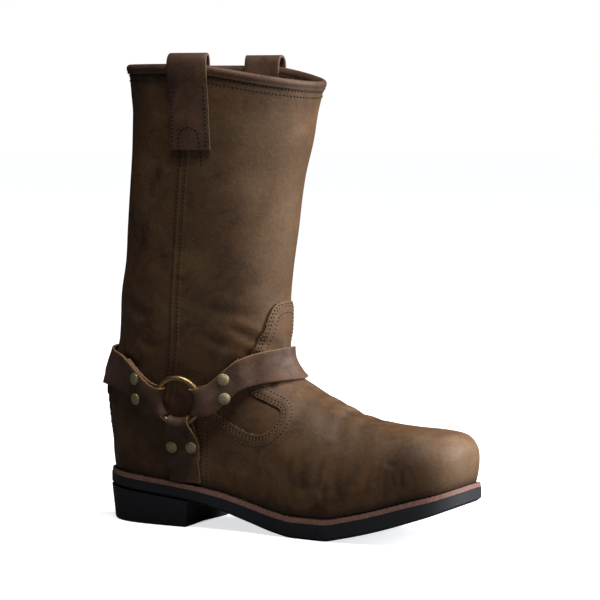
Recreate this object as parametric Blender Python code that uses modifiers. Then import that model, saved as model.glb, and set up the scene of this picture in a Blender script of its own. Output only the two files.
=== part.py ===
"""A left harness boot, empty, standing on its heel and the ball of its sole.

X runs from heel to toe, Y from the inner (medial) side to the outer (lateral) side, Z up.
The origin is on the floor under the middle of the heel.
Inside the functions x is measured from the back edge of the sole; the parts are shifted by
HEEL_CENTRE when they are made.
"""

import math

import bmesh
import bpy
import numpy as np
from mathutils import Matrix, Vector

# Sole
SOLE_LENGTH = 0.304
SOLE_THICKNESS = 0.012
SEAT_RISE = 0.0275
TOE_SPRING = 0.0295
WELT_THICKNESS = 0.0031
WELT_MARGIN = 0.0060
SOLE_EDGE_ROUND = 0.0022
HEEL_LENGTH = 0.079
HEEL_TAPER = 0.0020
BREAST_HOLLOW = 0.0030
HEEL_CENTRE = 0.038
INSOLE_THICKNESS = 0.0052

# Last: its bottom starts LAST_START in front of the sole's back edge
LAST_START = 0.0030
LAST_LENGTH = 0.295
BALL_WIDTH = 0.098
INSTEP_HEIGHT = 0.0935
TOE_ROUND = 0.040
HEEL_ROUND = 0.030
TOE_SQUARENESS = 2.6
BULGE = 0.0022
BULGE_HEIGHT = 0.018
WALL_LEAN = 0.07
BROW_RADIUS = 0.038
CROWN = 0.010

# Shaft
SHAFT_HEIGHT = 0.352
SHAFT_DEPTH = 0.143
SHAFT_WIDTH = 0.1232
COLLAR_DIP = 0.013
ANKLE_HEIGHT = 0.150
ANKLE_BLEND = 0.030
SOLE_BLEND = 0.006

# Leather and seams
WALL = 0.0024
VAMP_THICKNESS = 0.0015
SEAM_X = 0.0795
SEAM_RAISE = 0.0008
SEAM_HALF_ANGLE = 4.0
GAP = 0.0003

# Collar binding
BINDING_DEPTH = 0.0046
BINDING_SIDE = 0.0017

# Pull loops
LOOP_WIDTH = 0.032
LOOP_THICKNESS = 0.0020
LOOP_LENGTH = 0.062
LOOP_INSIDE_LENGTH = 0.045
LOOP_ARCH = 0.0075
LOOP_PLAY = 0.0008

# Harness
STRAP_WIDTH = 0.027
STRAP_END_WIDTH = 0.0206
SIDE_STRAP_END_WIDTH = 0.0166
STRAP_THICKNESS = 0.0022
STRAP_SEAT = 0.0006
LEAF_LENGTH = 0.047
RIVET_REACH = 0.0365
RIVET_SPACING = 0.0158
RING_HEIGHT = 0.100
RING_DIAMETER = 0.040
RING_WIRE = 0.0042
RING_PLAY = 0.0012
BEND_PLAY = 0.0010
INSOLE_SEAT = 0.0007
WELT_SEAT = 0.0005
UPPER_SEAT = 0.0008
INSTEP_STRAP_HEIGHT = 0.127
HEEL_STRAP_HEIGHT = 0.1215
RIVET_DIAMETER = 0.0092
RIVET_DOME = 0.0018
RIVET_SEAT = 0.0006

# Facets
FRONT_MERIDIANS = 14
BACK_MERIDIANS = 7
FOOT_LEVELS = 14
SOLE_STATIONS = 28
STRAP_LANES = 4

# Underside of the sole, heel to toe: share of SOLE_LENGTH, of SEAT_RISE, of TOE_SPRING
UNDERSIDE = (
    (0.000, 1.000, 0.000),
    (0.280, 0.727, 0.000),
    (0.350, 0.575, 0.000),
    (0.440, 0.300, 0.000),
    (0.520, 0.085, 0.000),
    (0.575, 0.000, 0.000),
    (0.665, 0.000, 0.000),
    (0.720, 0.000, 0.100),
    (0.810, 0.000, 0.330),
    (0.895, 0.000, 0.600),
    (0.945, 0.000, 0.770),
    (1.000, 0.000, 1.000),
)
FLAT_START = 0.575
FLAT_END = 0.665

# Sole thickness: share of SOLE_LENGTH, of SOLE_THICKNESS
THICKNESS = (
    (0.00, 0.77),
    (0.28, 0.77),
    (0.40, 0.90),
    (0.55, 1.00),
    (0.85, 1.04),
    (1.00, 0.86),
)

# Welt beyond the last: share of SOLE_LENGTH, of WELT_MARGIN
MARGIN = (
    (0.00, 0.52),
    (0.15, 0.52),
    (0.32, 0.90),
    (0.60, 0.90),
    (1.00, 1.00),
)

# Last bottom without its round ends: share of LAST_LENGTH, then medial and lateral half width
# as shares of BALL_WIDTH. Behind the waist the shaft's own rows carry the heel.
LAST_BOTTOM = (
    (0.00, 0.250, 0.250),
    (0.12, 0.290, 0.290),
    (0.20, 0.322, 0.325),
    (0.28, 0.338, 0.350),
    (0.42, 0.352, 0.402),
    (0.55, 0.418, 0.475),
    (0.62, 0.458, 0.508),
    (0.70, 0.486, 0.506),
    (0.78, 0.486, 0.480),
    (0.87, 0.462, 0.425),
    (0.94, 0.440, 0.385),
    (1.00, 0.420, 0.350),
)

# Foot above the last's edge: share of SOLE_LENGTH, ridge as share of INSTEP_HEIGHT,
# brow radius as share of BROW_RADIUS, crown as share of CROWN
RIDGE = (
    (0.00, 0.900, 0.60, 1.00),
    (0.30, 0.960, 0.90, 1.30),
    (0.40, 1.040, 1.00, 1.40),
    (0.46, 1.060, 1.00, 1.40),
    (0.53, 1.000, 1.00, 1.30),
    (0.58, 0.920, 1.00, 1.20),
    (0.64, 0.825, 1.00, 1.10),
    (0.73, 0.682, 0.90, 0.90),
    (0.82, 0.568, 0.68, 0.70),
    (0.90, 0.474, 0.45, 0.50),
    (0.98, 0.385, 0.36, 0.40),
)

# Shaft, bottom to top: share of SHAFT_HEIGHT, back as share of SOLE_LENGTH, depth as share of
# SHAFT_DEPTH, width as share of SHAFT_WIDTH, squareness (2 is an ellipse)
SHAFT = (
    (0.080, 0.0115, 0.735, 0.500, 2.30),
    (0.114, 0.0110, 0.760, 0.530, 2.30),
    (0.170, 0.0095, 0.795, 0.582, 2.25),
    (0.227, 0.0095, 0.850, 0.635, 2.15),
    (0.284, 0.0115, 0.905, 0.690, 2.05),
    (0.341, 0.0150, 0.945, 0.745, 2.00),
    (0.420, 0.0250, 0.970, 0.818, 2.00),
    (0.520, 0.0375, 0.955, 0.868, 2.00),
    (0.600, 0.0465, 0.958, 0.890, 2.00),
    (0.680, 0.0575, 0.960, 0.935, 2.00),
    (0.760, 0.0660, 0.970, 0.975, 2.00),
    (0.847, 0.0735, 1.000, 1.000, 2.00),
    (0.900, 0.0750, 1.018, 1.014, 2.00),
    (0.950, 0.0685, 1.063, 1.039, 2.00),
    (1.000, 0.0610, 1.105, 1.060, 2.00),
)

# Upper edge of the vamp from the side, heel to toe: share of SOLE_LENGTH, of ANKLE_HEIGHT
VAMP_SIDE = (
    (0.292, -0.100),
    (0.292, 0.400),
    (0.298, 0.575),
    (0.326, 0.620),
    (0.355, 0.590),
    (0.395, 0.540),
    (0.440, 0.503),
    (0.475, 0.500),
    (0.502, 0.522),
    (0.519, 0.575),
    (0.524, 0.640),
    (0.520, 0.745),
    (1.100, 0.745),
    (1.100, -0.100),
)

# Half of the flap from the front, bottom to top: half width as share of BALL_WIDTH, height as
# share of ANKLE_HEIGHT
VAMP_FLAP = (
    (0.295, 0.700),
    (0.290, 0.880),
    (0.270, 0.960),
    (0.232, 1.020),
    (0.215, 1.080),
    (0.180, 1.130),
    (0.130, 1.160),
    (0.000, 1.168),
)


def smooth(rows, column):
    """Monotone cubic through one column of a table, against its first column."""
    at = np.array([row[0] for row in rows])
    value = np.array([row[column] for row in rows])
    step = np.diff(at)
    rise = np.diff(value) / step
    slope = np.zeros(len(at))
    same = rise[:-1] * rise[1:] > 0
    product = np.where(same, rise[:-1] * rise[1:], 0.0)
    total = np.where(same, rise[:-1] + rise[1:], 1.0)
    slope[1:-1] = 2 * product / total
    slope[0] = rise[0]
    slope[-1] = rise[-1]

    def read(where):
        where = np.clip(where, at[0], at[-1])
        left = np.clip(np.searchsorted(at, where, side="right") - 1, 0, len(step) - 1)
        width = step[left]
        t = (where - at[left]) / width
        return (
            value[left] * (1 + 2 * t) * (1 - t) ** 2
            + slope[left] * width * t * (1 - t) ** 2
            + value[left + 1] * t * t * (3 - 2 * t)
            + slope[left + 1] * width * t * t * (t - 1)
        )

    return read


SEAT_PART = smooth(UNDERSIDE, 1)
SPRING_PART = smooth(UNDERSIDE, 2)
THICKNESS_PART = smooth(THICKNESS, 1)
MARGIN_PART = smooth(MARGIN, 1)
MEDIAL_PART = smooth(LAST_BOTTOM, 1)
LATERAL_PART = smooth(LAST_BOTTOM, 2)
RIDGE_PART = smooth(RIDGE, 1)
BROW_PART = smooth(RIDGE, 2)
CROWN_PART = smooth(RIDGE, 3)
BACK_PART = smooth(SHAFT, 1)
DEPTH_PART = smooth(SHAFT, 2)
WIDTH_PART = smooth(SHAFT, 3)
SQUARE_PART = smooth(SHAFT, 4)


def underside(x):
    share = x / SOLE_LENGTH
    return SEAT_RISE * SEAT_PART(share) + TOE_SPRING * SPRING_PART(share)


def sole_top(x):
    return underside(x) + SOLE_THICKNESS * THICKNESS_PART(x / SOLE_LENGTH)


def feather(x):
    """Height of the upper's lower edge, just above the welt."""
    return sole_top(x) + WELT_SEAT + WELT_THICKNESS + UPPER_SEAT


def last_half_width(x, medial):
    """Half width of the last's bottom on one side, closed round at both ends."""
    along = np.clip(x - LAST_START, 0.0, LAST_LENGTH)
    share = along / LAST_LENGTH
    width = BALL_WIDTH * np.where(medial, MEDIAL_PART(share), LATERAL_PART(share))
    heel = np.clip(1 - along / HEEL_ROUND, 0, 1)
    toe = np.clip(1 - (LAST_LENGTH - along) / TOE_ROUND, 0, 1)
    round_heel = (1 - heel**2) ** 0.5
    round_toe = (1 - toe**TOE_SQUARENESS) ** (1 / TOE_SQUARENESS)
    return width * round_heel * round_toe


def foot_field(x, y, level):
    """Below zero inside the foot; level is the height above the last's edge."""
    rise = np.clip(level / BULGE_HEIGHT, 0, 1)
    bulge = BULGE * (1 - (1 - rise) ** 2)
    lean = WALL_LEAN * np.maximum(level - BULGE_HEIGHT, 0)
    middle = LAST_START + LAST_LENGTH / 2
    shrunk = middle + (x - middle) * (LAST_LENGTH / (LAST_LENGTH + 2 * bulge - lean))
    medial = y < 0
    half = last_half_width(shrunk, medial)
    step = 0.0005
    slope = (last_half_width(shrunk + step, medial) - last_half_width(shrunk - step, medial)) / (2 * step)
    side = (np.abs(y) - half - bulge + lean) / np.sqrt(1 + slope**2)
    side = np.maximum(side, shrunk - LAST_START - LAST_LENGTH)
    side = np.maximum(side, LAST_START - shrunk)
    share = x / SOLE_LENGTH
    crown = CROWN * CROWN_PART(share) * (y / (0.5 * BALL_WIDTH)) ** 2
    tilt = INSTEP_HEIGHT * (RIDGE_PART(share + 0.01) - RIDGE_PART(share - 0.01)) / (0.02 * SOLE_LENGTH)
    top = (level - INSTEP_HEIGHT * RIDGE_PART(share) + crown) / np.sqrt(1 + tilt**2)
    radius = BROW_RADIUS * BROW_PART(share)
    corner = np.hypot(np.maximum(radius + side, 0), np.maximum(radius + top, 0))
    return np.minimum(-radius, np.maximum(side, top)) + corner


def shaft_field(x, y, z):
    """Below zero inside the shaft and the heel of the upper."""
    share = z / SHAFT_HEIGHT
    half_depth = 0.5 * SHAFT_DEPTH * DEPTH_PART(share)
    half_width = 0.5 * SHAFT_WIDTH * WIDTH_PART(share)
    power = SQUARE_PART(share)
    across = x - SOLE_LENGTH * BACK_PART(share) - half_depth
    ratio = (np.abs(across) / half_depth) ** power + (np.abs(y) / half_width) ** power
    ratio = np.maximum(ratio, 1e-6) ** (1 / power)
    away = np.hypot(across, y)
    return np.where(ratio < 0.02, -half_width, away - away / ratio)


def form(points):
    """The outer form of the upper: below zero inside, zero on the leather's face."""
    x, y, z = points[:, 0], points[:, 1], points[:, 2]
    foot = foot_field(x, y, z - feather(x))
    shaft = shaft_field(x, y, z)
    height = np.clip((z - 0.4 * ANKLE_HEIGHT) / (0.4 * ANKLE_HEIGHT), 0, 1)
    blend = SOLE_BLEND + (ANKLE_BLEND - SOLE_BLEND) * height
    near = np.maximum(blend - np.abs(foot - shaft), 0) / blend
    return np.minimum(foot, shaft) - 0.25 * blend * near**2


def levelled(points):
    """The same form where z is the height above the last's edge."""
    lifted = points.copy()
    lifted[:, 2] += feather(points[:, 0])
    return form(lifted)


def cast(field, starts, directions, reach=0.30):
    """Where each ray from inside a field leaves it."""
    low = np.zeros(len(starts))
    high = np.full(len(starts), reach)
    for _ in range(24):
        middle = 0.5 * (low + high)
        inside = field(starts + directions * middle[:, None]) < 0
        low = np.where(inside, middle, low)
        high = np.where(inside, high, middle)
    return starts + directions * low[:, None]


def outward(points):
    """Unit normals of the form at points on it."""
    step = 0.0008
    normal = np.zeros_like(points)
    for axis in range(3):
        shift = np.zeros(3)
        shift[axis] = step
        normal[:, axis] = form(points + shift) - form(points - shift)
    return normal / np.linalg.norm(normal, axis=1)[:, None]


def feather_ring(count=720):
    """The last's edge in plan, from the toe round the medial side."""
    angle = np.linspace(0, 2 * np.pi, count, endpoint=False)
    start = np.tile([0.5 * SOLE_LENGTH, 0.0, 0.0], (count, 1))
    direction = np.column_stack([np.cos(angle), -np.sin(angle), np.zeros(count)])
    return cast(levelled, start, direction)[:, :2]


EDGE = feather_ring()


def offset_ring(distance):
    """The last's edge moved out by a distance for each of its points."""
    ahead = np.roll(EDGE, -1, axis=0) - np.roll(EDGE, 1, axis=0)
    ahead /= np.linalg.norm(ahead, axis=1)[:, None]
    normal = np.column_stack([-ahead[:, 1], ahead[:, 0]])
    normal *= np.sign(np.sum(normal * (EDGE - EDGE.mean(axis=0)), axis=1))[:, None]
    return EDGE + normal * np.broadcast_to(distance, len(EDGE))[:, None]


def outline(ring, stations, stop=None):
    """Closed loop from the back round the medial side: x stations are shares of its length."""
    back = ring[:, 0].min()
    front = ring[:, 0].max() if stop is None else stop
    x = back + (front - back) * stations
    medial = ring[ring[:, 1] <= 0]
    lateral = ring[ring[:, 1] >= 0]
    medial = medial[np.argsort(medial[:, 0])]
    lateral = lateral[np.argsort(lateral[:, 0])]
    left = np.column_stack([x, np.interp(x, medial[:, 0], medial[:, 1])])
    right = np.column_stack([x, np.interp(x, lateral[:, 0], lateral[:, 1])])
    return left, right


def full_stations():
    """Station shares that crowd at heel and toe and mark the flat spot under the ball."""
    share = 0.5 * (1 - np.cos(np.pi * np.arange(1, SOLE_STATIONS) / SOLE_STATIONS))
    for mark in (FLAT_START, FLAT_END):
        share[np.argmin(np.abs(share - mark))] = mark
    return share


def loop_of(ring, stations, height, inset=0.0):
    """A closed 3-D loop on an outline: back point, medial side, toe point, lateral side."""
    left, right = outline(ring, stations)
    back = ring[:, 0].min()
    front = ring[:, 0].max()
    middle = 0.5 * (back + front)
    squeeze = 1 - 2 * inset / (front - back)
    back_y = ring[np.argmin(ring[:, 0]), 1]
    front_y = ring[np.argmax(ring[:, 0]), 1]
    flat = [(back, back_y)] + [tuple(p) for p in left] + [(front, front_y)] + [tuple(p) for p in right[::-1]]
    points = []
    for x, y in flat:
        moved = max(abs(y) - inset, 0.0) * math.copysign(1, y)
        points.append((middle + (x - middle) * squeeze, moved, float(height(np.array([x]))[0])))
    return np.array(points)


# Objects
def clear():
    for item in list(bpy.data.objects):
        bpy.data.objects.remove(item, do_unlink=True)


def material(name, colour, roughness, metallic=0.0):
    made = bpy.data.materials.new(name)
    made.use_nodes = True
    shader = made.node_tree.nodes["Principled BSDF"]
    shader.inputs["Base Color"].default_value = (*colour, 1.0)
    shader.inputs["Roughness"].default_value = roughness
    shader.inputs["Metallic"].default_value = metallic
    return made


def add_object(name, points, faces, finish, collection):
    """A mesh object from points measured from the sole's back edge."""
    shifted = [(p[0] - HEEL_CENTRE, p[1], p[2]) for p in points]
    mesh = bpy.data.meshes.new(name)
    mesh.from_pydata(shifted, [], faces)
    work = bmesh.new()
    work.from_mesh(mesh)
    bmesh.ops.recalc_face_normals(work, faces=work.faces)
    work.to_mesh(mesh)
    work.free()
    if finish:
        mesh.materials.append(finish)
    mesh.shade_smooth()
    mesh.set_sharp_from_angle(angle=math.radians(40))
    item = bpy.data.objects.new(name, mesh)
    collection.objects.link(item)
    return item


def stacked_faces(rings, size):
    """Quads between neighbouring closed rings of the same size."""
    faces = []
    for level in range(rings - 1):
        for place in range(size):
            after = (place + 1) % size
            faces.append(
                (level * size + place, level * size + after, (level + 1) * size + after, (level + 1) * size + place)
            )
    return faces


def split_faces(grid):
    """Triangles between a grid's rings, each quad cut along its shorter diagonal."""
    levels, size, _ = grid.shape
    points = grid.reshape(-1, 3)
    faces = []
    for a, b, c, d in stacked_faces(levels, size):
        if np.linalg.norm(points[a] - points[c]) <= np.linalg.norm(points[b] - points[d]):
            faces += [(a, b, c), (a, c, d)]
        else:
            faces += [(a, b, d), (b, c, d)]
    return faces


def strip_cap(start, size):
    """Closes a ring whose point i faces its point size - i."""
    faces = [(start, start + 1, start + size - 1)]
    for place in range(1, size // 2 - 1):
        faces.append((start + place, start + place + 1, start + size - place - 1, start + size - place))
    half = size // 2
    faces.append((start + half - 1, start + half, start + half + 1))
    return faces


def stacked_solid(name, rings, finish, collection, sides=None):
    """A closed solid from a stack of rings with paired sides."""
    size = len(rings[0])
    faces = sides or stacked_faces(len(rings), size)
    faces = faces + strip_cap(0, size) + strip_cap((len(rings) - 1) * size, size)
    return add_object(name, np.vstack(rings), faces, finish, collection)


def hoop_solid(name, sections, finish, collection):
    """A closed hoop from section polygons that follow each other round."""
    count = len(sections)
    size = len(sections[0])
    faces = []
    for station in range(count):
        following = (station + 1) % count
        for place in range(size):
            after = (place + 1) % size
            faces.append(
                (station * size + place, station * size + after, following * size + after, following * size + place)
            )
    return add_object(name, np.vstack(sections), faces, finish, collection)


def sheet_solid(name, rows, thickness, finish, collection):
    """An open strip of quads from rows of points, thickened evenly to both sides."""
    size = len(rows[0])
    faces = []
    for row in range(len(rows) - 1):
        for lane in range(size - 1):
            start = row * size + lane
            faces.append((start, start + 1, start + size + 1, start + size))
    item = add_object(name, np.vstack(rows), faces, finish, collection)
    shell = item.modifiers.new("thickness", "SOLIDIFY")
    shell.thickness = thickness
    shell.offset = 0.0
    shell.use_even_offset = True
    return item


# Grid of the upper
def meridian_angles():
    """Angles round the shaft from the front over the medial side, in degrees."""
    front = list(np.linspace(0, 90, FRONT_MERIDIANS + 1)[:-1])
    back = list(np.linspace(90, 180, BACK_MERIDIANS + 1)[1:])
    half = front + [90 - SEAM_HALF_ANGLE, 90.0, 90 + SEAM_HALF_ANGLE] + back
    return np.array(sorted(half + [360 - angle for angle in half[1:-1]]))


ANGLES = meridian_angles()


def plan_direction(degrees):
    angle = np.radians(degrees)
    return np.column_stack([np.cos(angle), -np.sin(angle), np.zeros(np.size(angle))])


def shaft_centre(z):
    share = z / SHAFT_HEIGHT
    return SOLE_LENGTH * BACK_PART(share) + 0.5 * SHAFT_DEPTH * DEPTH_PART(share)


def collar_height(degrees):
    """The wall's top edge: level at the back and sides, dipping to the front."""
    front = np.clip(np.cos(np.radians(degrees)), 0, 1)
    return SHAFT_HEIGHT - COLLAR_DIP * front**1.5


def shaft_ring(height):
    """Points on the form at a height for each meridian."""
    height = np.broadcast_to(height, len(ANGLES))
    start = np.column_stack([shaft_centre(height), np.zeros(len(ANGLES)), height])
    return cast(form, start, plan_direction(ANGLES))


def foot_targets():
    """For each meridian, its point on the last's edge in plan."""
    targets = np.zeros((len(ANGLES), 2))
    for side in (-1, 1):
        own = EDGE[EDGE[:, 1] * side >= -1e-9]
        order = np.argsort(np.arctan2(np.abs(own[:, 1]), own[:, 0] - 0.5 * SOLE_LENGTH))
        own = own[order]
        run = np.concatenate([[0], np.cumsum(np.linalg.norm(np.diff(own, axis=0), axis=1))])
        seam = np.interp(-SEAM_X, -own[:, 0], run)
        for place, degrees in enumerate(ANGLES):
            turned = degrees if degrees <= 180 else 360 - degrees
            on_side = -1 if degrees <= 180 else 1
            if on_side != side:
                continue
            if turned <= 90:
                part = turned / 90
                where = seam * (0.55 * part + 0.45 * part**2)
            else:
                where = seam + (run[-1] - seam) * (turned - 90) / 90
            targets[place] = (np.interp(where, run, own[:, 0]), np.interp(where, run, own[:, 1]))
    return targets


def foot_rings(ankle):
    """Rings from the last's edge up to the ankle ring, spaced along each meridian.

    Each meridian is found by an eye that climbs inside the foot from its middle to the ankle.
    """
    dense = 140
    share = np.linspace(0, 1, dense)
    level = np.linspace(0, 1, FOOT_LEVELS + 1)
    spaced = 0.5 * level + 0.5 * level**2 * (3 - 2 * level)
    rings = np.zeros((FOOT_LEVELS + 1, len(ANGLES), 3))
    ankle_x = float(shaft_centre(np.array([ANKLE_HEIGHT]))[0])
    ankle_eye = np.array([ankle_x, 0.0, ANKLE_HEIGHT - float(feather(np.array([ankle_x]))[0])])
    for place, (x, y) in enumerate(foot_targets()):
        eye = np.array([np.clip(0.060 + 0.45 * (x - 0.060), 0.050, 0.170), 0.0, 0.045])
        low = np.array([x, y, 0.0]) - eye
        high = ankle[place] - np.array([ankle_x, 0.0, ANKLE_HEIGHT])
        low /= np.linalg.norm(low)
        high /= np.linalg.norm(high)
        ways = low * (1 - share[:, None]) + high * share[:, None]
        ways /= np.linalg.norm(ways, axis=1)[:, None]
        eyes = eye * (1 - share[:, None]) + ankle_eye * share[:, None]
        found = cast(levelled, eyes, ways)
        found[0] = (x, y, 0.0)
        found[:, 2] += feather(found[:, 0])
        found[-1] = ankle[place]
        run = np.concatenate([[0], np.cumsum(np.linalg.norm(np.diff(found, axis=0), axis=1))])
        for axis in range(3):
            rings[:, place, axis] = np.interp(spaced * run[-1], run, found[:, axis])
    return rings


def upper_grid():
    """All rings of the upper's outer face, last's edge to collar."""
    ankle = shaft_ring(ANKLE_HEIGHT)
    rings = list(foot_rings(ankle))
    collar = collar_height(ANGLES)
    for share in (0.11, 0.25, 0.40, 0.55, 0.70, 0.83, 0.93, 1.0):
        rings.append(shaft_ring(ANKLE_HEIGHT + share * (collar - ANKLE_HEIGHT)))
    grid = np.array(rings)
    seam = np.abs(np.abs(ANGLES - 180) - 90) < 0.5
    for ring in grid[1:-1]:
        raised = seam & (ring[:, 2] > RING_HEIGHT)
        ring[raised] += SEAM_RAISE * outward(ring[raised])
    return grid


def offset_grid(grid, distance):
    flat = grid.reshape(-1, 3)
    return (flat + distance * outward(flat)).reshape(grid.shape)


def make_upper(grid, finish, collection):
    item = add_object("upper", grid.reshape(-1, 3), split_faces(grid), finish, collection)
    shell = item.modifiers.new("wall", "SOLIDIFY")
    shell.thickness = WALL
    shell.offset = -1.0
    shell.use_quality_normals = True
    return item


def prism(name, outline_points, axis, start, stop, cutters):
    """A straight prism along X or Y on an outline of pairs."""
    size = len(outline_points)
    points = []
    for end in (start, stop):
        for first, second in outline_points:
            points.append((end, first, second) if axis == "X" else (first, end, second))
    faces = [tuple(range(size)), tuple(range(size, 2 * size))]
    faces += [(k, (k + 1) % size, size + (k + 1) % size, size + k) for k in range(size)]
    item = add_object(name, points, faces, None, cutters)
    hide(item)
    return item


def hide(item):
    item.hide_render = True
    item.display_type = "WIRE"


def boolean(item, operation, other):
    change = item.modifiers.new(operation.lower(), "BOOLEAN")
    change.operation = operation
    change.object = other


def make_vamp(grid, finish, collection, cutters):
    """The second layer over the foot, cut between two larger forms of the upper."""
    reach = FOOT_LEVELS + 4
    outer = offset_grid(grid[:reach], GAP + VAMP_THICKNESS)
    outer[0, :, 2] = feather(outer[0, :, 0]) + GAP
    inner = offset_grid(grid[:reach], GAP)
    inner[0, :, 2] -= 0.004
    inner[-1, :, 2] += 0.004
    sides = split_faces(grid[:reach])
    item = stacked_solid("vamp", list(outer), finish, collection, sides)
    core = stacked_solid("vamp_core", list(inner), None, cutters, sides)
    hide(core)
    side = [(SOLE_LENGTH * a, ANKLE_HEIGHT * b) for a, b in VAMP_SIDE]
    flap = [(BALL_WIDTH * a, ANKLE_HEIGHT * b) for a, b in VAMP_FLAP]
    flap += [(-a, b) for a, b in flap[-2::-1]]
    region = prism("vamp_region", side, "Y", -BALL_WIDTH, BALL_WIDTH, cutters)
    front = prism("vamp_flap_region", flap, "X", SEAM_X + 0.025, SOLE_LENGTH * 0.70, cutters)
    boolean(region, "UNION", front)
    boolean(item, "INTERSECT", region)
    boolean(item, "DIFFERENCE", core)
    return item


# Sole
def make_sole(finishes, collection):
    stations = full_stations()
    share = EDGE[:, 0] / SOLE_LENGTH
    sole = offset_ring(WELT_MARGIN * MARGIN_PART(share))
    inner = offset_ring(-(WALL + 0.0016))
    inlay = offset_ring(-(WALL + 0.0016 + GAP))
    rings = [
        loop_of(sole, stations, sole_top),
        loop_of(sole, stations, lambda x: underside(x) + SOLE_EDGE_ROUND),
        loop_of(sole, stations, underside, SOLE_EDGE_ROUND),
    ]
    stacked_solid("outsole", rings, finishes["rubber"], collection)

    low = loop_of(sole, stations, lambda x: sole_top(x) + WELT_SEAT, 0.0003)
    high = loop_of(sole, stations, lambda x: sole_top(x) + WELT_SEAT + WELT_THICKNESS, 0.0006)
    inner_low = loop_of(inner, stations, lambda x: sole_top(x) + WELT_SEAT)
    inner_high = loop_of(inner, stations, lambda x: sole_top(x) + WELT_SEAT + WELT_THICKNESS)
    sections = [np.array(four) for four in zip(low, high, inner_high, inner_low)]
    hoop_solid("welt", sections, finishes["welt"], collection)

    rings = [
        loop_of(inlay, stations, lambda x: sole_top(x) + INSOLE_SEAT + INSOLE_THICKNESS),
        loop_of(inlay, stations, lambda x: sole_top(x) + INSOLE_SEAT),
    ]
    stacked_solid("insole", rings, finishes["insole"], collection)
    make_heel(sole, finishes["rubber"], collection)


def make_heel(sole, finish, collection):
    """Heel block under the seat, a little smaller at the floor, with a hollow breast."""
    breast = HEEL_LENGTH + HEEL_TAPER
    stations = 1 - np.cos(0.5 * np.pi * np.arange(1, 13) / 12)
    left, right = outline(sole, stations, stop=breast)
    back = sole[:, 0].min()
    flat = [(back, 0.0)] + [tuple(p) for p in left]
    flat += [(breast - BREAST_HOLLOW, 0.0)]
    flat += [tuple(p) for p in right[::-1]]
    flat = np.array(flat)
    middle = 0.5 * breast
    rings = []
    for taper, height in ((0.0, None), (HEEL_TAPER, 0.0015), (HEEL_TAPER + 0.0008, 0.0)):
        ring = np.zeros((len(flat), 3))
        ring[:, 0] = middle + (flat[:, 0] - middle) * (1 - taper / middle)
        ring[:, 1] = np.sign(flat[:, 1]) * np.maximum(np.abs(flat[:, 1]) - taper, 0)
        ring[:, 2] = underside(flat[:, 0]) - GAP if height is None else height
        rings.append(ring)
    stacked_solid("heel", rings, finish, collection)


# Collar
def make_binding(grid, finish, collection):
    """Rolled edge: a U section over the wall's top edge."""
    top = grid[-1]
    normal = outward(top)
    normal[:, 2] = 0
    normal /= np.linalg.norm(normal, axis=1)[:, None]
    climb = top - grid[-2]
    flare = np.sum(climb * normal, axis=1) / climb[:, 2]
    slot = 0.0005
    outer = BINDING_SIDE
    inner = -WALL - BINDING_SIDE
    profile = (
        (slot, -BINDING_DEPTH),
        (outer, -0.8 * BINDING_DEPTH),
        (outer, 0.0),
        (-0.2 * WALL, 0.0026),
        (-0.8 * WALL, 0.0026),
        (inner, 0.0),
        (inner, -0.8 * BINDING_DEPTH),
        (-WALL - slot, -BINDING_DEPTH),
        (-WALL - slot, 0.4 * WALL),
        (slot, 0.4 * WALL),
    )
    sections = []
    for point, way, lean in zip(top, normal, flare):
        sections.append(np.array([point + way * (n + lean * z) + np.array([0, 0, z]) for n, z in profile]))
    hoop_solid("collar_binding", sections, finish, collection)


def collar_x():
    return float(shaft_centre(np.array([SHAFT_HEIGHT]))[0])


def make_pull_loop(name, side, finish, collection):
    """A strap over the collar: down the outside, an arch over the edge, down the inside."""
    half = 0.5 * LOOP_THICKNESS
    clear_out = BINDING_SIDE + LOOP_PLAY + half
    clear_in = -WALL - BINDING_SIDE - LOOP_PLAY - half
    seam_clear = SEAM_RAISE + STRAP_SEAT + half
    arch = 0.5 * (clear_out - clear_in)
    mid = 0.5 * (clear_out + clear_in)
    top = SHAFT_HEIGHT + 0.0024
    path = [(seam_clear, SHAFT_HEIGHT - LOOP_LENGTH)]
    path += [(seam_clear, SHAFT_HEIGHT - LOOP_LENGTH * part) for part in (0.75, 0.5, 0.25)]
    path += [(clear_out, SHAFT_HEIGHT - 1.3 * BINDING_DEPTH), (clear_out, top)]
    for turn in (30, 60, 90, 120, 150):
        angle = math.radians(turn)
        path.append((mid + arch * math.cos(angle), top + LOOP_ARCH * math.sin(angle)))
    inside = -WALL - STRAP_SEAT - half
    path += [(clear_in, top), (clear_in, SHAFT_HEIGHT - 1.3 * BINDING_DEPTH)]
    path += [(inside, SHAFT_HEIGHT - LOOP_INSIDE_LENGTH * part) for part in (0.4, 0.7, 1.0)]
    centre = collar_x()
    rows = []
    for away, height in path:
        lanes = np.linspace(-0.5, 0.5, STRAP_LANES) * LOOP_WIDTH
        on_wall = min(height, SHAFT_HEIGHT)
        start = np.column_stack([centre + lanes, np.zeros(STRAP_LANES), np.full(STRAP_LANES, on_wall)])
        wall = cast(form, start, np.tile([0.0, side, 0.0], (STRAP_LANES, 1)))
        normal = outward(wall)
        normal[:, 2] = 0
        normal /= np.linalg.norm(normal, axis=1)[:, None]
        row = wall + normal * away
        row[:, 2] = height
        rows.append(row)
    return sheet_solid(name, rows, LOOP_THICKNESS, finish, collection)


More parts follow.
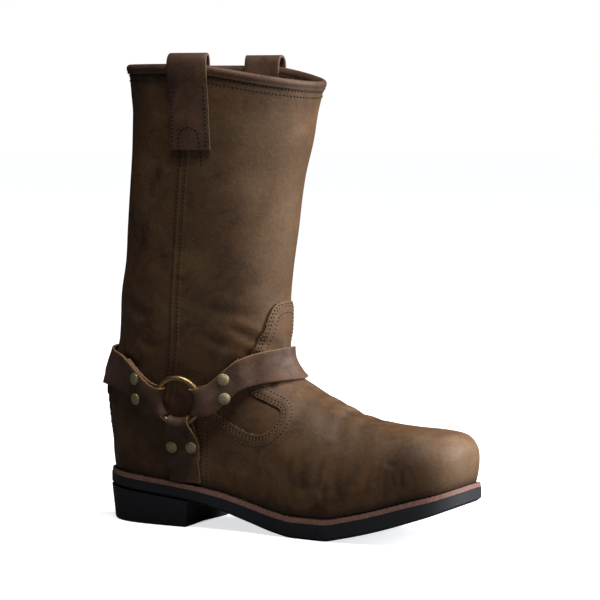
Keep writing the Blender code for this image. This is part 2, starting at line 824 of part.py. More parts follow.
# Harness
def wall_run(heights, start, stop, lift, play, count=181):
    """Points of a taut line round the foot between two plan angles about the ring.

    heights gives the line's height at a share of the way, and play its extra lift half way.
    """
    degrees = np.linspace(start, stop, count)
    share = np.linspace(0, 1, count)
    z = heights(share)
    origin = np.column_stack([np.full(count, SEAM_X), np.zeros(count), z])
    points = cast(form, origin, plan_direction(degrees))
    normal = outward(points)
    level_part = np.maximum(np.linalg.norm(normal[:, :2], axis=1), 0.5)
    clear = lift + play * np.sin(np.pi * share)
    points[:, :2] += normal[:, :2] * (clear / level_part**2)[:, None]
    taut = hull_line(points[:, :2])
    points[:, :2] = taut
    return points


def hull_line(flat):
    """Lifts the hollow stretches of a line round the ring's axis to the chords over them."""
    centre = np.array([SEAM_X, 0.0])
    keep = []
    for place in range(len(flat)):
        while len(keep) > 1:
            first, middle, last = flat[keep[-2]], flat[keep[-1]], flat[place]
            chord = last - first
            to_middle = chord[0] * (middle - first)[1] - chord[1] * (middle - first)[0]
            to_centre = chord[0] * (centre - first)[1] - chord[1] * (centre - first)[0]
            if to_middle * to_centre < 0:
                break
            keep.pop()
        keep.append(place)
    taut = flat.copy()
    for first, second in zip(keep[:-1], keep[1:]):
        part = np.linspace(0, 1, second - first + 1)[:, None]
        taut[first : second + 1] = flat[first] * (1 - part) + flat[second] * part
    return taut


def ring_frame(side, lift):
    """Seat of a ring: point on the wall and its forward, up and outward directions."""
    start = np.array([[SEAM_X, 0.0, RING_HEIGHT]])
    point = cast(form, start, np.array([[0.0, side, 0.0]]))
    normal = outward(point)[0]
    point = point[0] + lift * normal
    forward = np.array([1.0, 0.0, 0.0])
    forward = forward - normal * (forward @ normal)
    forward /= np.linalg.norm(forward)
    up = np.cross(normal, forward) * -side
    return point, forward, up, normal


HARNESS_LIFT = VAMP_THICKNESS + GAP + STRAP_SEAT
WIRE_RADIUS = 0.5 * RING_WIRE
RING_RADIUS = 0.5 * RING_DIAMETER - WIRE_RADIUS
WIRE_LIFT = STRAP_THICKNESS + RING_PLAY + WIRE_RADIUS


def fold_profile():
    """Long section of a strap end: distance from the ring's middle and height over the wall.

    It runs from the end of the inner leaf round the wire and out along the outer leaf.
    """
    half = 0.5 * STRAP_THICKNESS
    around = WIRE_RADIUS + RING_PLAY + half
    upper_leaf = STRAP_THICKNESS + GAP + half
    profile = [(LEAF_LENGTH, half), (RIVET_REACH, half), (0.5 * (RIVET_REACH + RING_RADIUS), half)]
    for turn in (-90, -135, -180, -225, -270):
        angle = math.radians(turn)
        profile.append((RING_RADIUS + around * math.cos(angle), WIRE_LIFT + around * math.sin(angle)))
    profile += [
        (RING_RADIUS + 0.35 * (RIVET_REACH - RING_RADIUS), 0.62 * (WIRE_LIFT + around) + 0.38 * upper_leaf),
        (RIVET_REACH - 0.006, upper_leaf + 0.0004),
        (RIVET_REACH, upper_leaf),
        (RIVET_REACH + 0.0055, upper_leaf),
        (LEAF_LENGTH + 0.001, upper_leaf),
        (LEAF_LENGTH + 0.010, half),
    ]
    return profile


def lane_reach(along, lane):
    """Moves a strap end's points back so that its fold follows the ring's curve."""
    curve = math.sqrt(RING_RADIUS**2 - lane**2) - RING_RADIUS
    fade = float(np.clip((LEAF_LENGTH - along) / (LEAF_LENGTH - RING_RADIUS), 0, 1))
    return along + curve * fade * fade * (3 - 2 * fade)


def lane_offsets(along, end_width=STRAP_END_WIDTH):
    """Places across the strap, narrower at the ring."""
    grown = float(np.clip((along - RING_RADIUS) / (RIVET_REACH - RING_RADIUS), 0, 1))
    width = end_width + (STRAP_WIDTH - end_width) * grown
    return np.linspace(-0.5, 0.5, STRAP_LANES) * width


def near_ring(along):
    """One where a strap lies in the ring's plane, zero where it follows the leather."""
    start = RING_RADIUS + WIRE_RADIUS + RING_PLAY + STRAP_THICKNESS
    t = float(np.clip((along - start) / (LEAF_LENGTH - start), 0, 1))
    return 1 - t * t * (3 - 2 * t)


def band_place(lines, seat, sense, along, lane, height):
    """A point of a band that runs round the foot from a ring."""
    reach = lane_reach(along, lane)
    spot = (lane / STRAP_WIDTH + 0.5) * (STRAP_LANES - 1)
    low = int(min(max(math.floor(spot), 0), STRAP_LANES - 2))
    part = spot - low
    line = lines[low] * (1 - part) + lines[low + 1] * part
    run = np.concatenate([[0], np.cumsum(np.linalg.norm(np.diff(line[:, :2], axis=0), axis=1))])
    point = np.array([np.interp(reach, run, line[:, axis]) for axis in range(3)])
    normal = outward(point[None])[0]
    leather = point + normal * height
    origin, forward, up, out = seat
    plane = origin + forward * sense * reach + up * lane + out * height
    mix = near_ring(along)
    return plane * mix + leather * (1 - mix)


def side_place(seat, along, lane, height, side):
    """A point of a strap that runs down from a ring to the welt."""
    reach = lane_reach(along, lane)
    origin, forward, up, out = seat
    plane = origin + forward * lane - up * reach + out * height
    start = np.array([[SEAM_X + lane, 0.0, RING_HEIGHT - reach]])
    wall = cast(form, start, np.array([[0.0, side, 0.0]]))
    normal = outward(wall)[0]
    leather = wall[0] + normal * (HARNESS_LIFT + height)
    mix = near_ring(along)
    return plane * mix + leather * (1 - mix)


def band_lines(front_height, around_front):
    """Lanes of a band from the medial to the lateral ring, round the front or the back."""
    start, stop = (90, -90) if around_front else (90, 270)
    lean = 0.89 if around_front else 1.0
    play = BEND_PLAY if around_front else 0.0
    lines = []
    for lane in np.linspace(-0.5, 0.5, STRAP_LANES) * STRAP_WIDTH:

        def heights(share, lane=lane):
            rise = np.sin(np.pi * share) ** 1.2
            middle = RING_HEIGHT + (front_height - RING_HEIGHT) * rise
            return middle + lane * (1 - (1 - lean) * rise)

        lines.append(wall_run(heights, start, stop, HARNESS_LIFT, play))
    return lines


def make_band(name, front_height, around_front, finish, collection):
    """Instep or heel strap with both folded ends; returns its two rivet places a side."""
    lines = band_lines(front_height, around_front)
    sense = 1 if around_front else -1
    middle = 0.5 * (lines[(STRAP_LANES - 1) // 2] + lines[STRAP_LANES // 2])
    total = float(np.sum(np.linalg.norm(np.diff(middle[:, :2], axis=0), axis=1)))
    back_lines = [line[::-1] for line in lines]
    profile = fold_profile()
    rows = []
    for own_lines, side, reverse in ((lines, -1, False), (back_lines, 1, True)):
        seat = ring_frame(side, HARNESS_LIFT)
        end_rows = []
        for along, height in profile:
            lanes = lane_offsets(along)
            end_rows.append(np.array([band_place(own_lines, seat, sense, along, lane, height) for lane in lanes]))
        rows.append(end_rows[::-1] if reverse else end_rows)
    seat = ring_frame(-1, HARNESS_LIFT)
    half = 0.5 * STRAP_THICKNESS
    free = np.linspace(profile[-1][0], total - profile[-1][0], 15)[1:-1]
    between = []
    for along in free:
        lanes = lane_offsets(along)
        between.append(np.array([band_place(lines, seat, sense, along, lane, half) for lane in lanes]))
    sheet_solid(name, rows[0] + between + rows[1], STRAP_THICKNESS, finish, collection)
    places = []
    for own_lines, side in ((lines, -1), (back_lines, 1)):
        own_seat = ring_frame(side, HARNESS_LIFT)
        places.append(rivet_places(lambda along, lane, height: band_place(own_lines, own_seat, sense, along, lane, height)))
    return places


def make_side_strap(name, side, finish, collection):
    """Strap from a ring down to the welt, its end standing on the welt."""
    seat = ring_frame(side, HARNESS_LIFT)
    profile = fold_profile()
    floor = float(feather(np.array([SEAM_X]))[0]) + GAP
    last = RING_HEIGHT - floor - 0.0012
    profile = [(min(along, last), height) for along, height in profile if along < last]
    profile.append((last, profile[-1][1]))
    rows = []
    for along, height in profile:
        lanes = lane_offsets(along, SIDE_STRAP_END_WIDTH)
        row = np.array([side_place(seat, along, lane, height, side) for lane in lanes])
        rows.append(row)
    for row in (rows[0], rows[-1]):
        lowest = feather(row[:, 0]) + GAP
        row[:, 2] = np.maximum(row[:, 2], lowest)
    sheet_solid(name, rows, STRAP_THICKNESS, finish, collection)
    return rivet_places(lambda along, lane, height: side_place(seat, along, lane, height, side))


def rivet_places(place):
    """Position and outward normal of the two rivets of a strap end, clear of a hollow strap."""
    top = 2 * STRAP_THICKNESS + GAP
    reach = 0.55 * RIVET_DIAMETER
    turns = np.radians(np.arange(0, 360, 45))
    found = []
    for lane in (-0.5 * RIVET_SPACING, 0.5 * RIVET_SPACING):
        point = place(RIVET_REACH, lane, top)
        rim = [place(RIVET_REACH + reach * np.cos(turn), lane + reach * np.sin(turn), top) for turn in turns]
        normal = np.cross(rim[0] - rim[4], rim[2] - rim[6])
        normal /= np.linalg.norm(normal)
        if normal[1] * point[1] < 0:
            normal = -normal
        hollow = max(float((spot - point) @ normal) for spot in rim)
        found.append((point + normal * (max(hollow, 0.0) + RIVET_SEAT), normal))
    return found


def rivet_mesh(finish):
    """Low dome turned from its profile."""
    radius = 0.5 * RIVET_DIAMETER
    profile = ((0.0, RIVET_DOME), (0.55 * radius, 0.86 * RIVET_DOME), (radius, 0.30 * RIVET_DOME), (radius, 0.0), (0.0, 0.0))
    mesh = bpy.data.meshes.new("rivet")
    mesh.from_pydata([(r, 0.0, z) for r, z in profile], [(k, k + 1) for k in range(len(profile) - 1)], [])
    mesh.materials.append(finish)
    return mesh


def make_rivets(sets, finish, collection):
    mesh = rivet_mesh(finish)
    for name, places in sets.items():
        for number, (point, normal) in enumerate(places, start=1):
            item = bpy.data.objects.new(f"rivet_{name}_{number}", mesh)
            turn = item.modifiers.new("turn", "SCREW")
            turn.steps = 10
            turn.render_steps = 10
            turn.use_merge_vertices = True
            turn.merge_threshold = 0.00001
            quaternion = Vector(normal).to_track_quat("Z", "Y")
            item.matrix_world = Matrix.Translation((point[0] - HEEL_CENTRE, point[1], point[2])) @ quaternion.to_matrix().to_4x4()
            collection.objects.link(item)


def make_ring(name, side, finish, collection):
    origin, forward, up, out = ring_frame(side, HARNESS_LIFT)
    bpy.ops.mesh.primitive_torus_add(
        major_radius=RING_RADIUS, minor_radius=WIRE_RADIUS, major_segments=24, minor_segments=6
    )
    item = bpy.context.object
    item.name = name
    item.data.materials.append(finish)
    item.data.shade_smooth()
    centre = origin + out * WIRE_LIFT
    item.location = (centre[0] - HEEL_CENTRE, centre[1], centre[2])
    item.rotation_mode = "QUATERNION"
    item.rotation_quaternion = Vector(out).to_track_quat("Z", "Y")
    for old in list(item.users_collection):
        old.objects.unlink(item)
    collection.objects.link(item)


def main():
    clear()
    collection = bpy.data.collections.new("harness_boot")
    cutters = bpy.data.collections.new("cutters")
    bpy.context.scene.collection.children.link(collection)
    bpy.context.scene.collection.children.link(cutters)
    leather = material("oiled_leather", (0.115, 0.066, 0.038), 0.62)
    strap_leather = material("strap_leather", (0.105, 0.060, 0.046), 0.60)
    brass = material("antique_brass", (0.46, 0.30, 0.13), 0.35, 1.0)
    finishes = {
        "rubber": material("sole_rubber", (0.018, 0.018, 0.022), 0.70),
        "welt": material("welt_leather", (0.30, 0.17, 0.13), 0.60),
        "insole": material("insole_leather", (0.36, 0.22, 0.12), 0.75),
    }
    grid = upper_grid()
    make_upper(grid, leather, collection)
    make_vamp(grid, leather, collection, cutters)
    make_sole(finishes, collection)
    make_binding(grid, strap_leather, collection)
    rivets = {}
    for side, label in ((-1, "medial"), (1, "lateral")):
        make_pull_loop(f"pull_loop_{label}", side, strap_leather, collection)
        rivets[f"side_{label}"] = make_side_strap(f"side_strap_{label}", side, strap_leather, collection)
        make_ring(f"ring_{label}", side, brass, collection)
    instep = make_band("instep_strap", INSTEP_STRAP_HEIGHT, True, strap_leather, collection)
    heel = make_band("heel_strap", HEEL_STRAP_HEIGHT, False, strap_leather, collection)
    for label, front, back in zip(("medial", "lateral"), instep, heel):
        rivets[f"instep_{label}"] = front
        rivets[f"heel_{label}"] = back
    make_rivets(rivets, brass, collection)


main()
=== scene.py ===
"""Looks of the left harness boot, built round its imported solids.

X runs from heel to toe, Y from the inner (medial) side to the outer (lateral) side, Z up, in metres.
The origin is on the floor under the middle of the heel. Inside the functions x is measured from
the back edge of the sole, as in the part's source, and HEEL_CENTRE is taken off when a mesh is made.
"""

import math

import bpy
import numpy as np
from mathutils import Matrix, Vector, kdtree

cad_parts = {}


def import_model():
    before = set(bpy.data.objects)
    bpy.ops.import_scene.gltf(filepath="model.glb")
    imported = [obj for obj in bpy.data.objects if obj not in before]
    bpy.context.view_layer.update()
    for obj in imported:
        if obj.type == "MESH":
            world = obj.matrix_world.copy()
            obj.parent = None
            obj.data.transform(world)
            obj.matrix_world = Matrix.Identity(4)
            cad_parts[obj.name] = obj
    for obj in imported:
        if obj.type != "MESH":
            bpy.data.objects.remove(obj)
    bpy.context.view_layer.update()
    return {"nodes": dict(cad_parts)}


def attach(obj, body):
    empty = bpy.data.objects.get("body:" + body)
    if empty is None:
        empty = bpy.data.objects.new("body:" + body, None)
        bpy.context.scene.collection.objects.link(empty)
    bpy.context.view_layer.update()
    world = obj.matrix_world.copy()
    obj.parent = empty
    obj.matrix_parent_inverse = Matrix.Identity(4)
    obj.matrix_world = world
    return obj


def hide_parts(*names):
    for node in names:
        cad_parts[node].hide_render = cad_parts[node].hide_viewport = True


# Sole
SOLE_LENGTH = 0.304
SOLE_THICKNESS = 0.012
SEAT_RISE = 0.0275
TOE_SPRING = 0.0295
WELT_THICKNESS = 0.0031
WELT_MARGIN = 0.0060
SOLE_EDGE_ROUND = 0.0022
HEEL_LENGTH = 0.079
HEEL_TAPER = 0.0020
BREAST_HOLLOW = 0.0030
HEEL_CENTRE = 0.038

# Last: its bottom starts LAST_START in front of the sole's back edge
LAST_START = 0.0030
LAST_LENGTH = 0.295
BALL_WIDTH = 0.098
INSTEP_HEIGHT = 0.0935
TOE_ROUND = 0.040
HEEL_ROUND = 0.030
TOE_SQUARENESS = 2.6
BULGE = 0.0022
BULGE_HEIGHT = 0.018
WALL_LEAN = 0.07
BROW_RADIUS = 0.038
CROWN = 0.010

# Shaft
SHAFT_HEIGHT = 0.352
SHAFT_DEPTH = 0.143
SHAFT_WIDTH = 0.1232
COLLAR_DIP = 0.013
ANKLE_HEIGHT = 0.150
ANKLE_BLEND = 0.030
SOLE_BLEND = 0.006

# Leather and seams
WALL = 0.0024
VAMP_THICKNESS = 0.0015
SEAM_X = 0.0795
SEAM_RAISE = 0.0008
SEAM_HALF_WIDTH = 0.0045
SEAM_GROOVE_WIDTH = 0.0006
SEAM_GROOVE_DEPTH = 0.00055
GAP = 0.0003

# Collar binding
BINDING_DEPTH = 0.0046
BINDING_SIDE = 0.0017
ROLL_CENTRE = -0.0010
ROLL_RISE = 0.0036

# Pull loops
LOOP_WIDTH = 0.032
LOOP_THICKNESS = 0.0020
LOOP_LENGTH = 0.062
LOOP_INSIDE_LENGTH = 0.045
LOOP_ARCH = 0.0075
LOOP_PLAY = 0.0008
LOOP_TOP_RISE = 0.0024

# Harness
STRAP_WIDTH = 0.027
STRAP_END_WIDTH = 0.0206
SIDE_STRAP_END_WIDTH = 0.0166
STRAP_THICKNESS = 0.0022
STRAP_SEAT = 0.0006
LEAF_LENGTH = 0.047
RIVET_REACH = 0.0365
RIVET_SPACING = 0.0158
RING_HEIGHT = 0.100
RING_DIAMETER = 0.040
RING_WIRE = 0.0042
RING_PLAY = 0.0012
BEND_PLAY = 0.0010
WELT_SEAT = 0.0005
UPPER_SEAT = 0.0008
INSTEP_STRAP_HEIGHT = 0.127
HEEL_STRAP_HEIGHT = 0.1215
RIVET_DIAMETER = 0.0092
RIVET_DOME = 0.0018
RIVET_SEAT = 0.0006

# Sides of the boot, each with its direction along y
SIDES = ((-1, "medial"), (1, "lateral"))

# Facets
SOLE_STATIONS = 150
STRAP_LANES = 9

# Underside of the sole, heel to toe: share of SOLE_LENGTH, of SEAT_RISE, of TOE_SPRING
UNDERSIDE = (
    (0.000, 1.000, 0.000),
    (0.280, 0.727, 0.000),
    (0.350, 0.575, 0.000),
    (0.440, 0.300, 0.000),
    (0.520, 0.085, 0.000),
    (0.575, 0.000, 0.000),
    (0.665, 0.000, 0.000),
    (0.720, 0.000, 0.100),
    (0.810, 0.000, 0.330),
    (0.895, 0.000, 0.600),
    (0.945, 0.000, 0.770),
    (1.000, 0.000, 1.000),
)
FLAT_START = 0.575
FLAT_END = 0.665

# Sole thickness: share of SOLE_LENGTH, of SOLE_THICKNESS
THICKNESS = (
    (0.00, 0.77),
    (0.28, 0.77),
    (0.40, 0.90),
    (0.55, 1.00),
    (0.85, 1.04),
    (1.00, 0.86),
)

# Welt beyond the last: share of SOLE_LENGTH, of WELT_MARGIN
MARGIN = (
    (0.00, 0.52),
    (0.15, 0.52),
    (0.32, 0.90),
    (0.60, 0.90),
    (1.00, 1.00),
)

# Last bottom without its round ends: share of LAST_LENGTH, then medial and lateral half width
# as shares of BALL_WIDTH. Behind the waist the shaft's own rows carry the heel.
LAST_BOTTOM = (
    (0.00, 0.250, 0.250),
    (0.12, 0.290, 0.290),
    (0.20, 0.322, 0.325),
    (0.28, 0.338, 0.350),
    (0.42, 0.352, 0.402),
    (0.55, 0.418, 0.475),
    (0.62, 0.458, 0.508),
    (0.70, 0.486, 0.506),
    (0.78, 0.486, 0.480),
    (0.87, 0.462, 0.425),
    (0.94, 0.440, 0.385),
    (1.00, 0.420, 0.350),
)

# Foot above the last's edge: share of SOLE_LENGTH, ridge as share of INSTEP_HEIGHT,
# brow radius as share of BROW_RADIUS, crown as share of CROWN
RIDGE = (
    (0.00, 0.900, 0.60, 1.00),
    (0.30, 0.960, 0.90, 1.30),
    (0.40, 1.040, 1.00, 1.40),
    (0.46, 1.060, 1.00, 1.40),
    (0.53, 1.000, 1.00, 1.30),
    (0.58, 0.920, 1.00, 1.20),
    (0.64, 0.825, 1.00, 1.10),
    (0.73, 0.682, 0.90, 0.90),
    (0.82, 0.568, 0.68, 0.70),
    (0.90, 0.474, 0.45, 0.50),
    (0.98, 0.385, 0.36, 0.40),
)

# Shaft, bottom to top: share of SHAFT_HEIGHT, back as share of SOLE_LENGTH, depth as share of
# SHAFT_DEPTH, width as share of SHAFT_WIDTH, squareness (2 is an ellipse)
SHAFT = (
    (0.080, 0.0115, 0.735, 0.500, 2.30),
    (0.114, 0.0110, 0.760, 0.530, 2.30),
    (0.170, 0.0095, 0.795, 0.582, 2.25),
    (0.227, 0.0095, 0.850, 0.635, 2.15),
    (0.284, 0.0115, 0.905, 0.690, 2.05),
    (0.341, 0.0150, 0.945, 0.745, 2.00),
    (0.420, 0.0250, 0.970, 0.818, 2.00),
    (0.520, 0.0375, 0.955, 0.868, 2.00),
    (0.600, 0.0465, 0.958, 0.890, 2.00),
    (0.680, 0.0575, 0.960, 0.935, 2.00),
    (0.760, 0.0660, 0.970, 0.975, 2.00),
    (0.847, 0.0735, 1.000, 1.000, 2.00),
    (0.900, 0.0750, 1.018, 1.014, 2.00),
    (0.950, 0.0685, 1.063, 1.039, 2.00),
    (1.000, 0.0610, 1.105, 1.060, 2.00),
)

# Upper edge of the vamp from the side, heel to toe: share of SOLE_LENGTH, of ANKLE_HEIGHT
VAMP_SIDE = (
    (0.292, -0.100),
    (0.292, 0.400),
    (0.298, 0.575),
    (0.326, 0.620),
    (0.355, 0.590),
    (0.395, 0.540),
    (0.440, 0.503),
    (0.475, 0.500),
    (0.502, 0.522),
    (0.519, 0.575),
    (0.524, 0.640),
    (0.520, 0.745),
)

# Half of the flap from the front, bottom to top: half width as share of BALL_WIDTH, height as
# share of ANKLE_HEIGHT
VAMP_FLAP = (
    (0.295, 0.700),
    (0.290, 0.880),
    (0.270, 0.960),
    (0.232, 1.020),
    (0.215, 1.080),
    (0.180, 1.130),
    (0.130, 1.160),
    (0.000, 1.168),
)

# Mesh sizes, in degrees and rows
UPPER_STEP = 1.0
SEAM_STEP = 0.28
SEAM_BAND = 6.0
UPPER_FOOT_ROWS = 62
UPPER_SHAFT_ROWS = 112
VAMP_STEP = 0.46
VAMP_TURN = 100
VAMP_FOOT_ROWS = 108
VAMP_SHAFT_ROWS = 12
VAMP_SHAFT_SHARE = 0.16

# Stitch rows: distance in from the vamp's edge, and below the collar's top
VAMP_ROWS = (0.0022, 0.0042, 0.0092)
COLLAR_ROWS = (0.0058, 0.0100)
SEAM_ROW_ASIDE = 0.0027
LOOP_ROW_INSET = 0.0027
LOOP_FOOT_RADIUS = 0.008

# Stitches: distance from one to the next, thread, its length and rise as shares, its seat in the leather
STITCH_PITCH = 0.0031
THREAD = 0.0010
STITCH_LENGTH = 0.60
STITCH_RISE = 0.36
STITCH_SINK = 0.0001
STITCH_SIDES = 6

# Vamp's edge: width of its thinner rim, and how much its stitched band is rubbed
VAMP_RIM_LINE = 0.0006
VAMP_BAND_WEAR = 0.55

# Depth of a crease that takes the full painted shade
CREASE_SHADE_DEPTH = 0.0006

# Drawn gap between the outsole and the welt
WELT_DRAWN_SEAT = 0.0001

# A stitch's rings from end to end: place along it, height, thickness, as shares
STITCH_RINGS = (
    (-0.5, -0.9, 0.55),
    (-0.36, 0.1, 1.0),
    (0.0, 0.75, 1.08),
    (0.36, 0.1, 1.0),
    (0.5, -0.9, 0.55),
)

# A rivet's head from its top to its foot: radius and height as shares
RIVET_PROFILE = (
    (0.06, 1.0),
    (0.25, 0.99),
    (0.45, 0.93),
    (0.62, 0.82),
    (0.76, 0.66),
    (0.84, 0.52),
    (0.90, 0.50),
    (0.96, 0.46),
    (1.0, 0.34),
    (1.0, 0.12),
    (0.96, 0.02),
    (0.06, 0.0),
)

# Leathers: key, material, then base, dark, warm and dusty colour, and the height of the wrinkles
LEATHERS = (
    (
        "leather",
        "oiled_leather",
        (0.116, 0.060, 0.027),
        (0.036, 0.019, 0.012),
        (0.160, 0.076, 0.031),
        (0.225, 0.138, 0.075),
        1.0,
    ),
    (
        "straps",
        "strap_leather",
        (0.100, 0.052, 0.032),
        (0.034, 0.019, 0.014),
        (0.160, 0.078, 0.042),
        (0.205, 0.125, 0.080),
        0.8,
    ),
    (
        "lining",
        "lining_leather",
        (0.150, 0.098, 0.060),
        (0.080, 0.050, 0.030),
        (0.170, 0.110, 0.064),
        (0.210, 0.150, 0.100),
        0.5,
    ),
)

# Other finishes: key, material, two colours, roughness, noise scale, bump, metallic
PLAIN_FINISHES = (
    ("raw_edge", "raw_edge", (0.44, 0.215, 0.080), (0.26, 0.125, 0.050), 0.80, 900, 0.30, 0.0),
    ("strap_edge", "strap_edge", (0.30, 0.160, 0.070), (0.16, 0.085, 0.040), 0.80, 900, 0.30, 0.0),
    ("loop_edge", "loop_edge", (0.150, 0.086, 0.048), (0.085, 0.048, 0.028), 0.80, 900, 0.30, 0.0),
    ("thread", "dark_thread", (0.014, 0.009, 0.007), (0.028, 0.017, 0.011), 0.80, 3000, 0.30, 0.0),
    ("welt_edge", "welt_edge", (0.30, 0.150, 0.112), (0.19, 0.092, 0.068), 0.62, 420, 0.25, 0.0),
    # welt_top's dark brown is partly the welt's own dark top and partly painted shade under the upper's
    # overhang
    ("welt_top", "welt_top", (0.050, 0.030, 0.024), (0.090, 0.050, 0.036), 0.70, 500, 0.40, 0.0),
    ("rubber", "sole_rubber", (0.006, 0.007, 0.010), (0.016, 0.018, 0.024), 0.62, 700, 0.35, 0.0),
    ("insole", "insole_leather", (0.32, 0.20, 0.11), (0.22, 0.135, 0.07), 0.75, 260, 0.30, 0.0),
    ("brass", "antique_brass", (0.52, 0.35, 0.15), (0.30, 0.19, 0.08), 0.40, 520, 0.20, 1.0),
    ("rivet", "rivet_brass", (0.50, 0.445, 0.25), (0.31, 0.27, 0.14), 0.50, 620, 0.25, 0.8),
)

# Camera and lights
CAMERA_PLACE = (1.0267, -1.8733, 0.330)
CAMERA_AZIMUTH = 25.8
CAMERA_PITCH = 4.25
CAMERA_LENS = 164.2
LIGHT_AIM = (0.08, 0.0, 0.15)

# Lights: name, place, size, power
LIGHTS = (
    ("key", (2.10, 0.95, 1.05), (1.0, 1.5), 104.0),
    ("top", (0.50, -0.60, 2.1), (1.0, 1.0), 36.0),
    ("front", (2.1, -1.35, 0.55), (0.8, 0.8), 4.0),
)

# Stage: light of the room, glow and returned light of the floor, half its width
ROOM_LIGHT = 0.012
FLOOR_GLOW = 0.72
FLOOR_BOUNCE = 0.14
FLOOR_HALF = 12.0


def run_along(points):
    """Distance along a line of points, from its first."""
    return np.concatenate([[0], np.cumsum(np.linalg.norm(np.diff(points, axis=0), axis=1))])


def tree_of(spots):
    """A tree that finds the nearest of some points."""
    tree = kdtree.KDTree(len(spots))
    for number, spot in enumerate(spots):
        tree.insert(spot, number)
    tree.balance()
    return tree


def smooth(rows, column):
    """Monotone cubic through one column of a table, against its first column."""
    at = np.array([row[0] for row in rows])
    value = np.array([row[column] for row in rows])
    step = np.diff(at)
    rise = np.diff(value) / step
    slope = np.zeros(len(at))
    same = rise[:-1] * rise[1:] > 0
    product = np.where(same, rise[:-1] * rise[1:], 0.0)
    total = np.where(same, rise[:-1] + rise[1:], 1.0)
    slope[1:-1] = 2 * product / total
    slope[0] = rise[0]
    slope[-1] = rise[-1]

    def read(where):
        where = np.clip(where, at[0], at[-1])
        left = np.clip(np.searchsorted(at, where, side="right") - 1, 0, len(step) - 1)
        width = step[left]
        t = (where - at[left]) / width
        return (
            value[left] * (1 + 2 * t) * (1 - t) ** 2
            + slope[left] * width * t * (1 - t) ** 2
            + value[left + 1] * t * t * (3 - 2 * t)
            + slope[left + 1] * width * t * t * (t - 1)
        )

    return read


SEAT_PART = smooth(UNDERSIDE, 1)
SPRING_PART = smooth(UNDERSIDE, 2)
THICKNESS_PART = smooth(THICKNESS, 1)
MARGIN_PART = smooth(MARGIN, 1)
MEDIAL_PART = smooth(LAST_BOTTOM, 1)
LATERAL_PART = smooth(LAST_BOTTOM, 2)
RIDGE_PART = smooth(RIDGE, 1)
BROW_PART = smooth(RIDGE, 2)
CROWN_PART = smooth(RIDGE, 3)
BACK_PART = smooth(SHAFT, 1)
DEPTH_PART = smooth(SHAFT, 2)
WIDTH_PART = smooth(SHAFT, 3)
SQUARE_PART = smooth(SHAFT, 4)


def underside(x):
    share = x / SOLE_LENGTH
    return SEAT_RISE * SEAT_PART(share) + TOE_SPRING * SPRING_PART(share)


def sole_top(x):
    return underside(x) + SOLE_THICKNESS * THICKNESS_PART(x / SOLE_LENGTH)


def welt_foot(x):
    """Underside of the drawn welt, just above the outsole."""
    return sole_top(x) + WELT_DRAWN_SEAT


def welt_top(x):
    return sole_top(x) + WELT_SEAT + WELT_THICKNESS


def feather(x):
    """Height of the upper's lower edge, just above the welt."""
    return welt_top(x) + UPPER_SEAT


def last_half_width(x, medial):
    """Half width of the last's bottom on one side, closed round at both ends."""
    along = np.clip(x - LAST_START, 0.0, LAST_LENGTH)
    share = along / LAST_LENGTH
    width = BALL_WIDTH * np.where(medial, MEDIAL_PART(share), LATERAL_PART(share))
    heel = np.clip(1 - along / HEEL_ROUND, 0, 1)
    toe = np.clip(1 - (LAST_LENGTH - along) / TOE_ROUND, 0, 1)
    round_heel = (1 - heel**2) ** 0.5
    round_toe = (1 - toe**TOE_SQUARENESS) ** (1 / TOE_SQUARENESS)
    return width * round_heel * round_toe


def foot_field(x, y, level):
    """Below zero inside the foot; level is the height above the last's edge."""
    rise = np.clip(level / BULGE_HEIGHT, 0, 1)
    bulge = BULGE * (1 - (1 - rise) ** 2)
    lean = WALL_LEAN * np.maximum(level - BULGE_HEIGHT, 0)
    middle = LAST_START + LAST_LENGTH / 2
    shrunk = middle + (x - middle) * (LAST_LENGTH / (LAST_LENGTH + 2 * bulge - lean))
    medial = y < 0
    half = last_half_width(shrunk, medial)
    step = 0.0005
    slope = (last_half_width(shrunk + step, medial) - last_half_width(shrunk - step, medial)) / (2 * step)
    side = (np.abs(y) - half - bulge + lean) / np.sqrt(1 + slope**2)
    side = np.maximum(side, shrunk - LAST_START - LAST_LENGTH)
    side = np.maximum(side, LAST_START - shrunk)
    share = x / SOLE_LENGTH
    crown = CROWN * CROWN_PART(share) * (y / (0.5 * BALL_WIDTH)) ** 2
    tilt = INSTEP_HEIGHT * (RIDGE_PART(share + 0.01) - RIDGE_PART(share - 0.01)) / (0.02 * SOLE_LENGTH)
    top = (level - INSTEP_HEIGHT * RIDGE_PART(share) + crown) / np.sqrt(1 + tilt**2)
    radius = BROW_RADIUS * BROW_PART(share)
    corner = np.hypot(np.maximum(radius + side, 0), np.maximum(radius + top, 0))
    return np.minimum(-radius, np.maximum(side, top)) + corner


def shaft_field(x, y, z):
    """Below zero inside the shaft and the heel of the upper."""
    share = z / SHAFT_HEIGHT
    half_depth = 0.5 * SHAFT_DEPTH * DEPTH_PART(share)
    half_width = 0.5 * SHAFT_WIDTH * WIDTH_PART(share)
    power = SQUARE_PART(share)
    across = x - SOLE_LENGTH * BACK_PART(share) - half_depth
    ratio = (np.abs(across) / half_depth) ** power + (np.abs(y) / half_width) ** power
    ratio = np.maximum(ratio, 1e-6) ** (1 / power)
    away = np.hypot(across, y)
    return np.where(ratio < 0.02, -half_width, away - away / ratio)


def form(points):
    """The outer form of the upper: below zero inside, zero on the leather's face."""
    x, y, z = points[:, 0], points[:, 1], points[:, 2]
    foot = foot_field(x, y, z - feather(x))
    shaft = shaft_field(x, y, z)
    height = np.clip((z - 0.4 * ANKLE_HEIGHT) / (0.4 * ANKLE_HEIGHT), 0, 1)
    blend = SOLE_BLEND + (ANKLE_BLEND - SOLE_BLEND) * height
    near = np.maximum(blend - np.abs(foot - shaft), 0) / blend
    return np.minimum(foot, shaft) - 0.25 * blend * near**2


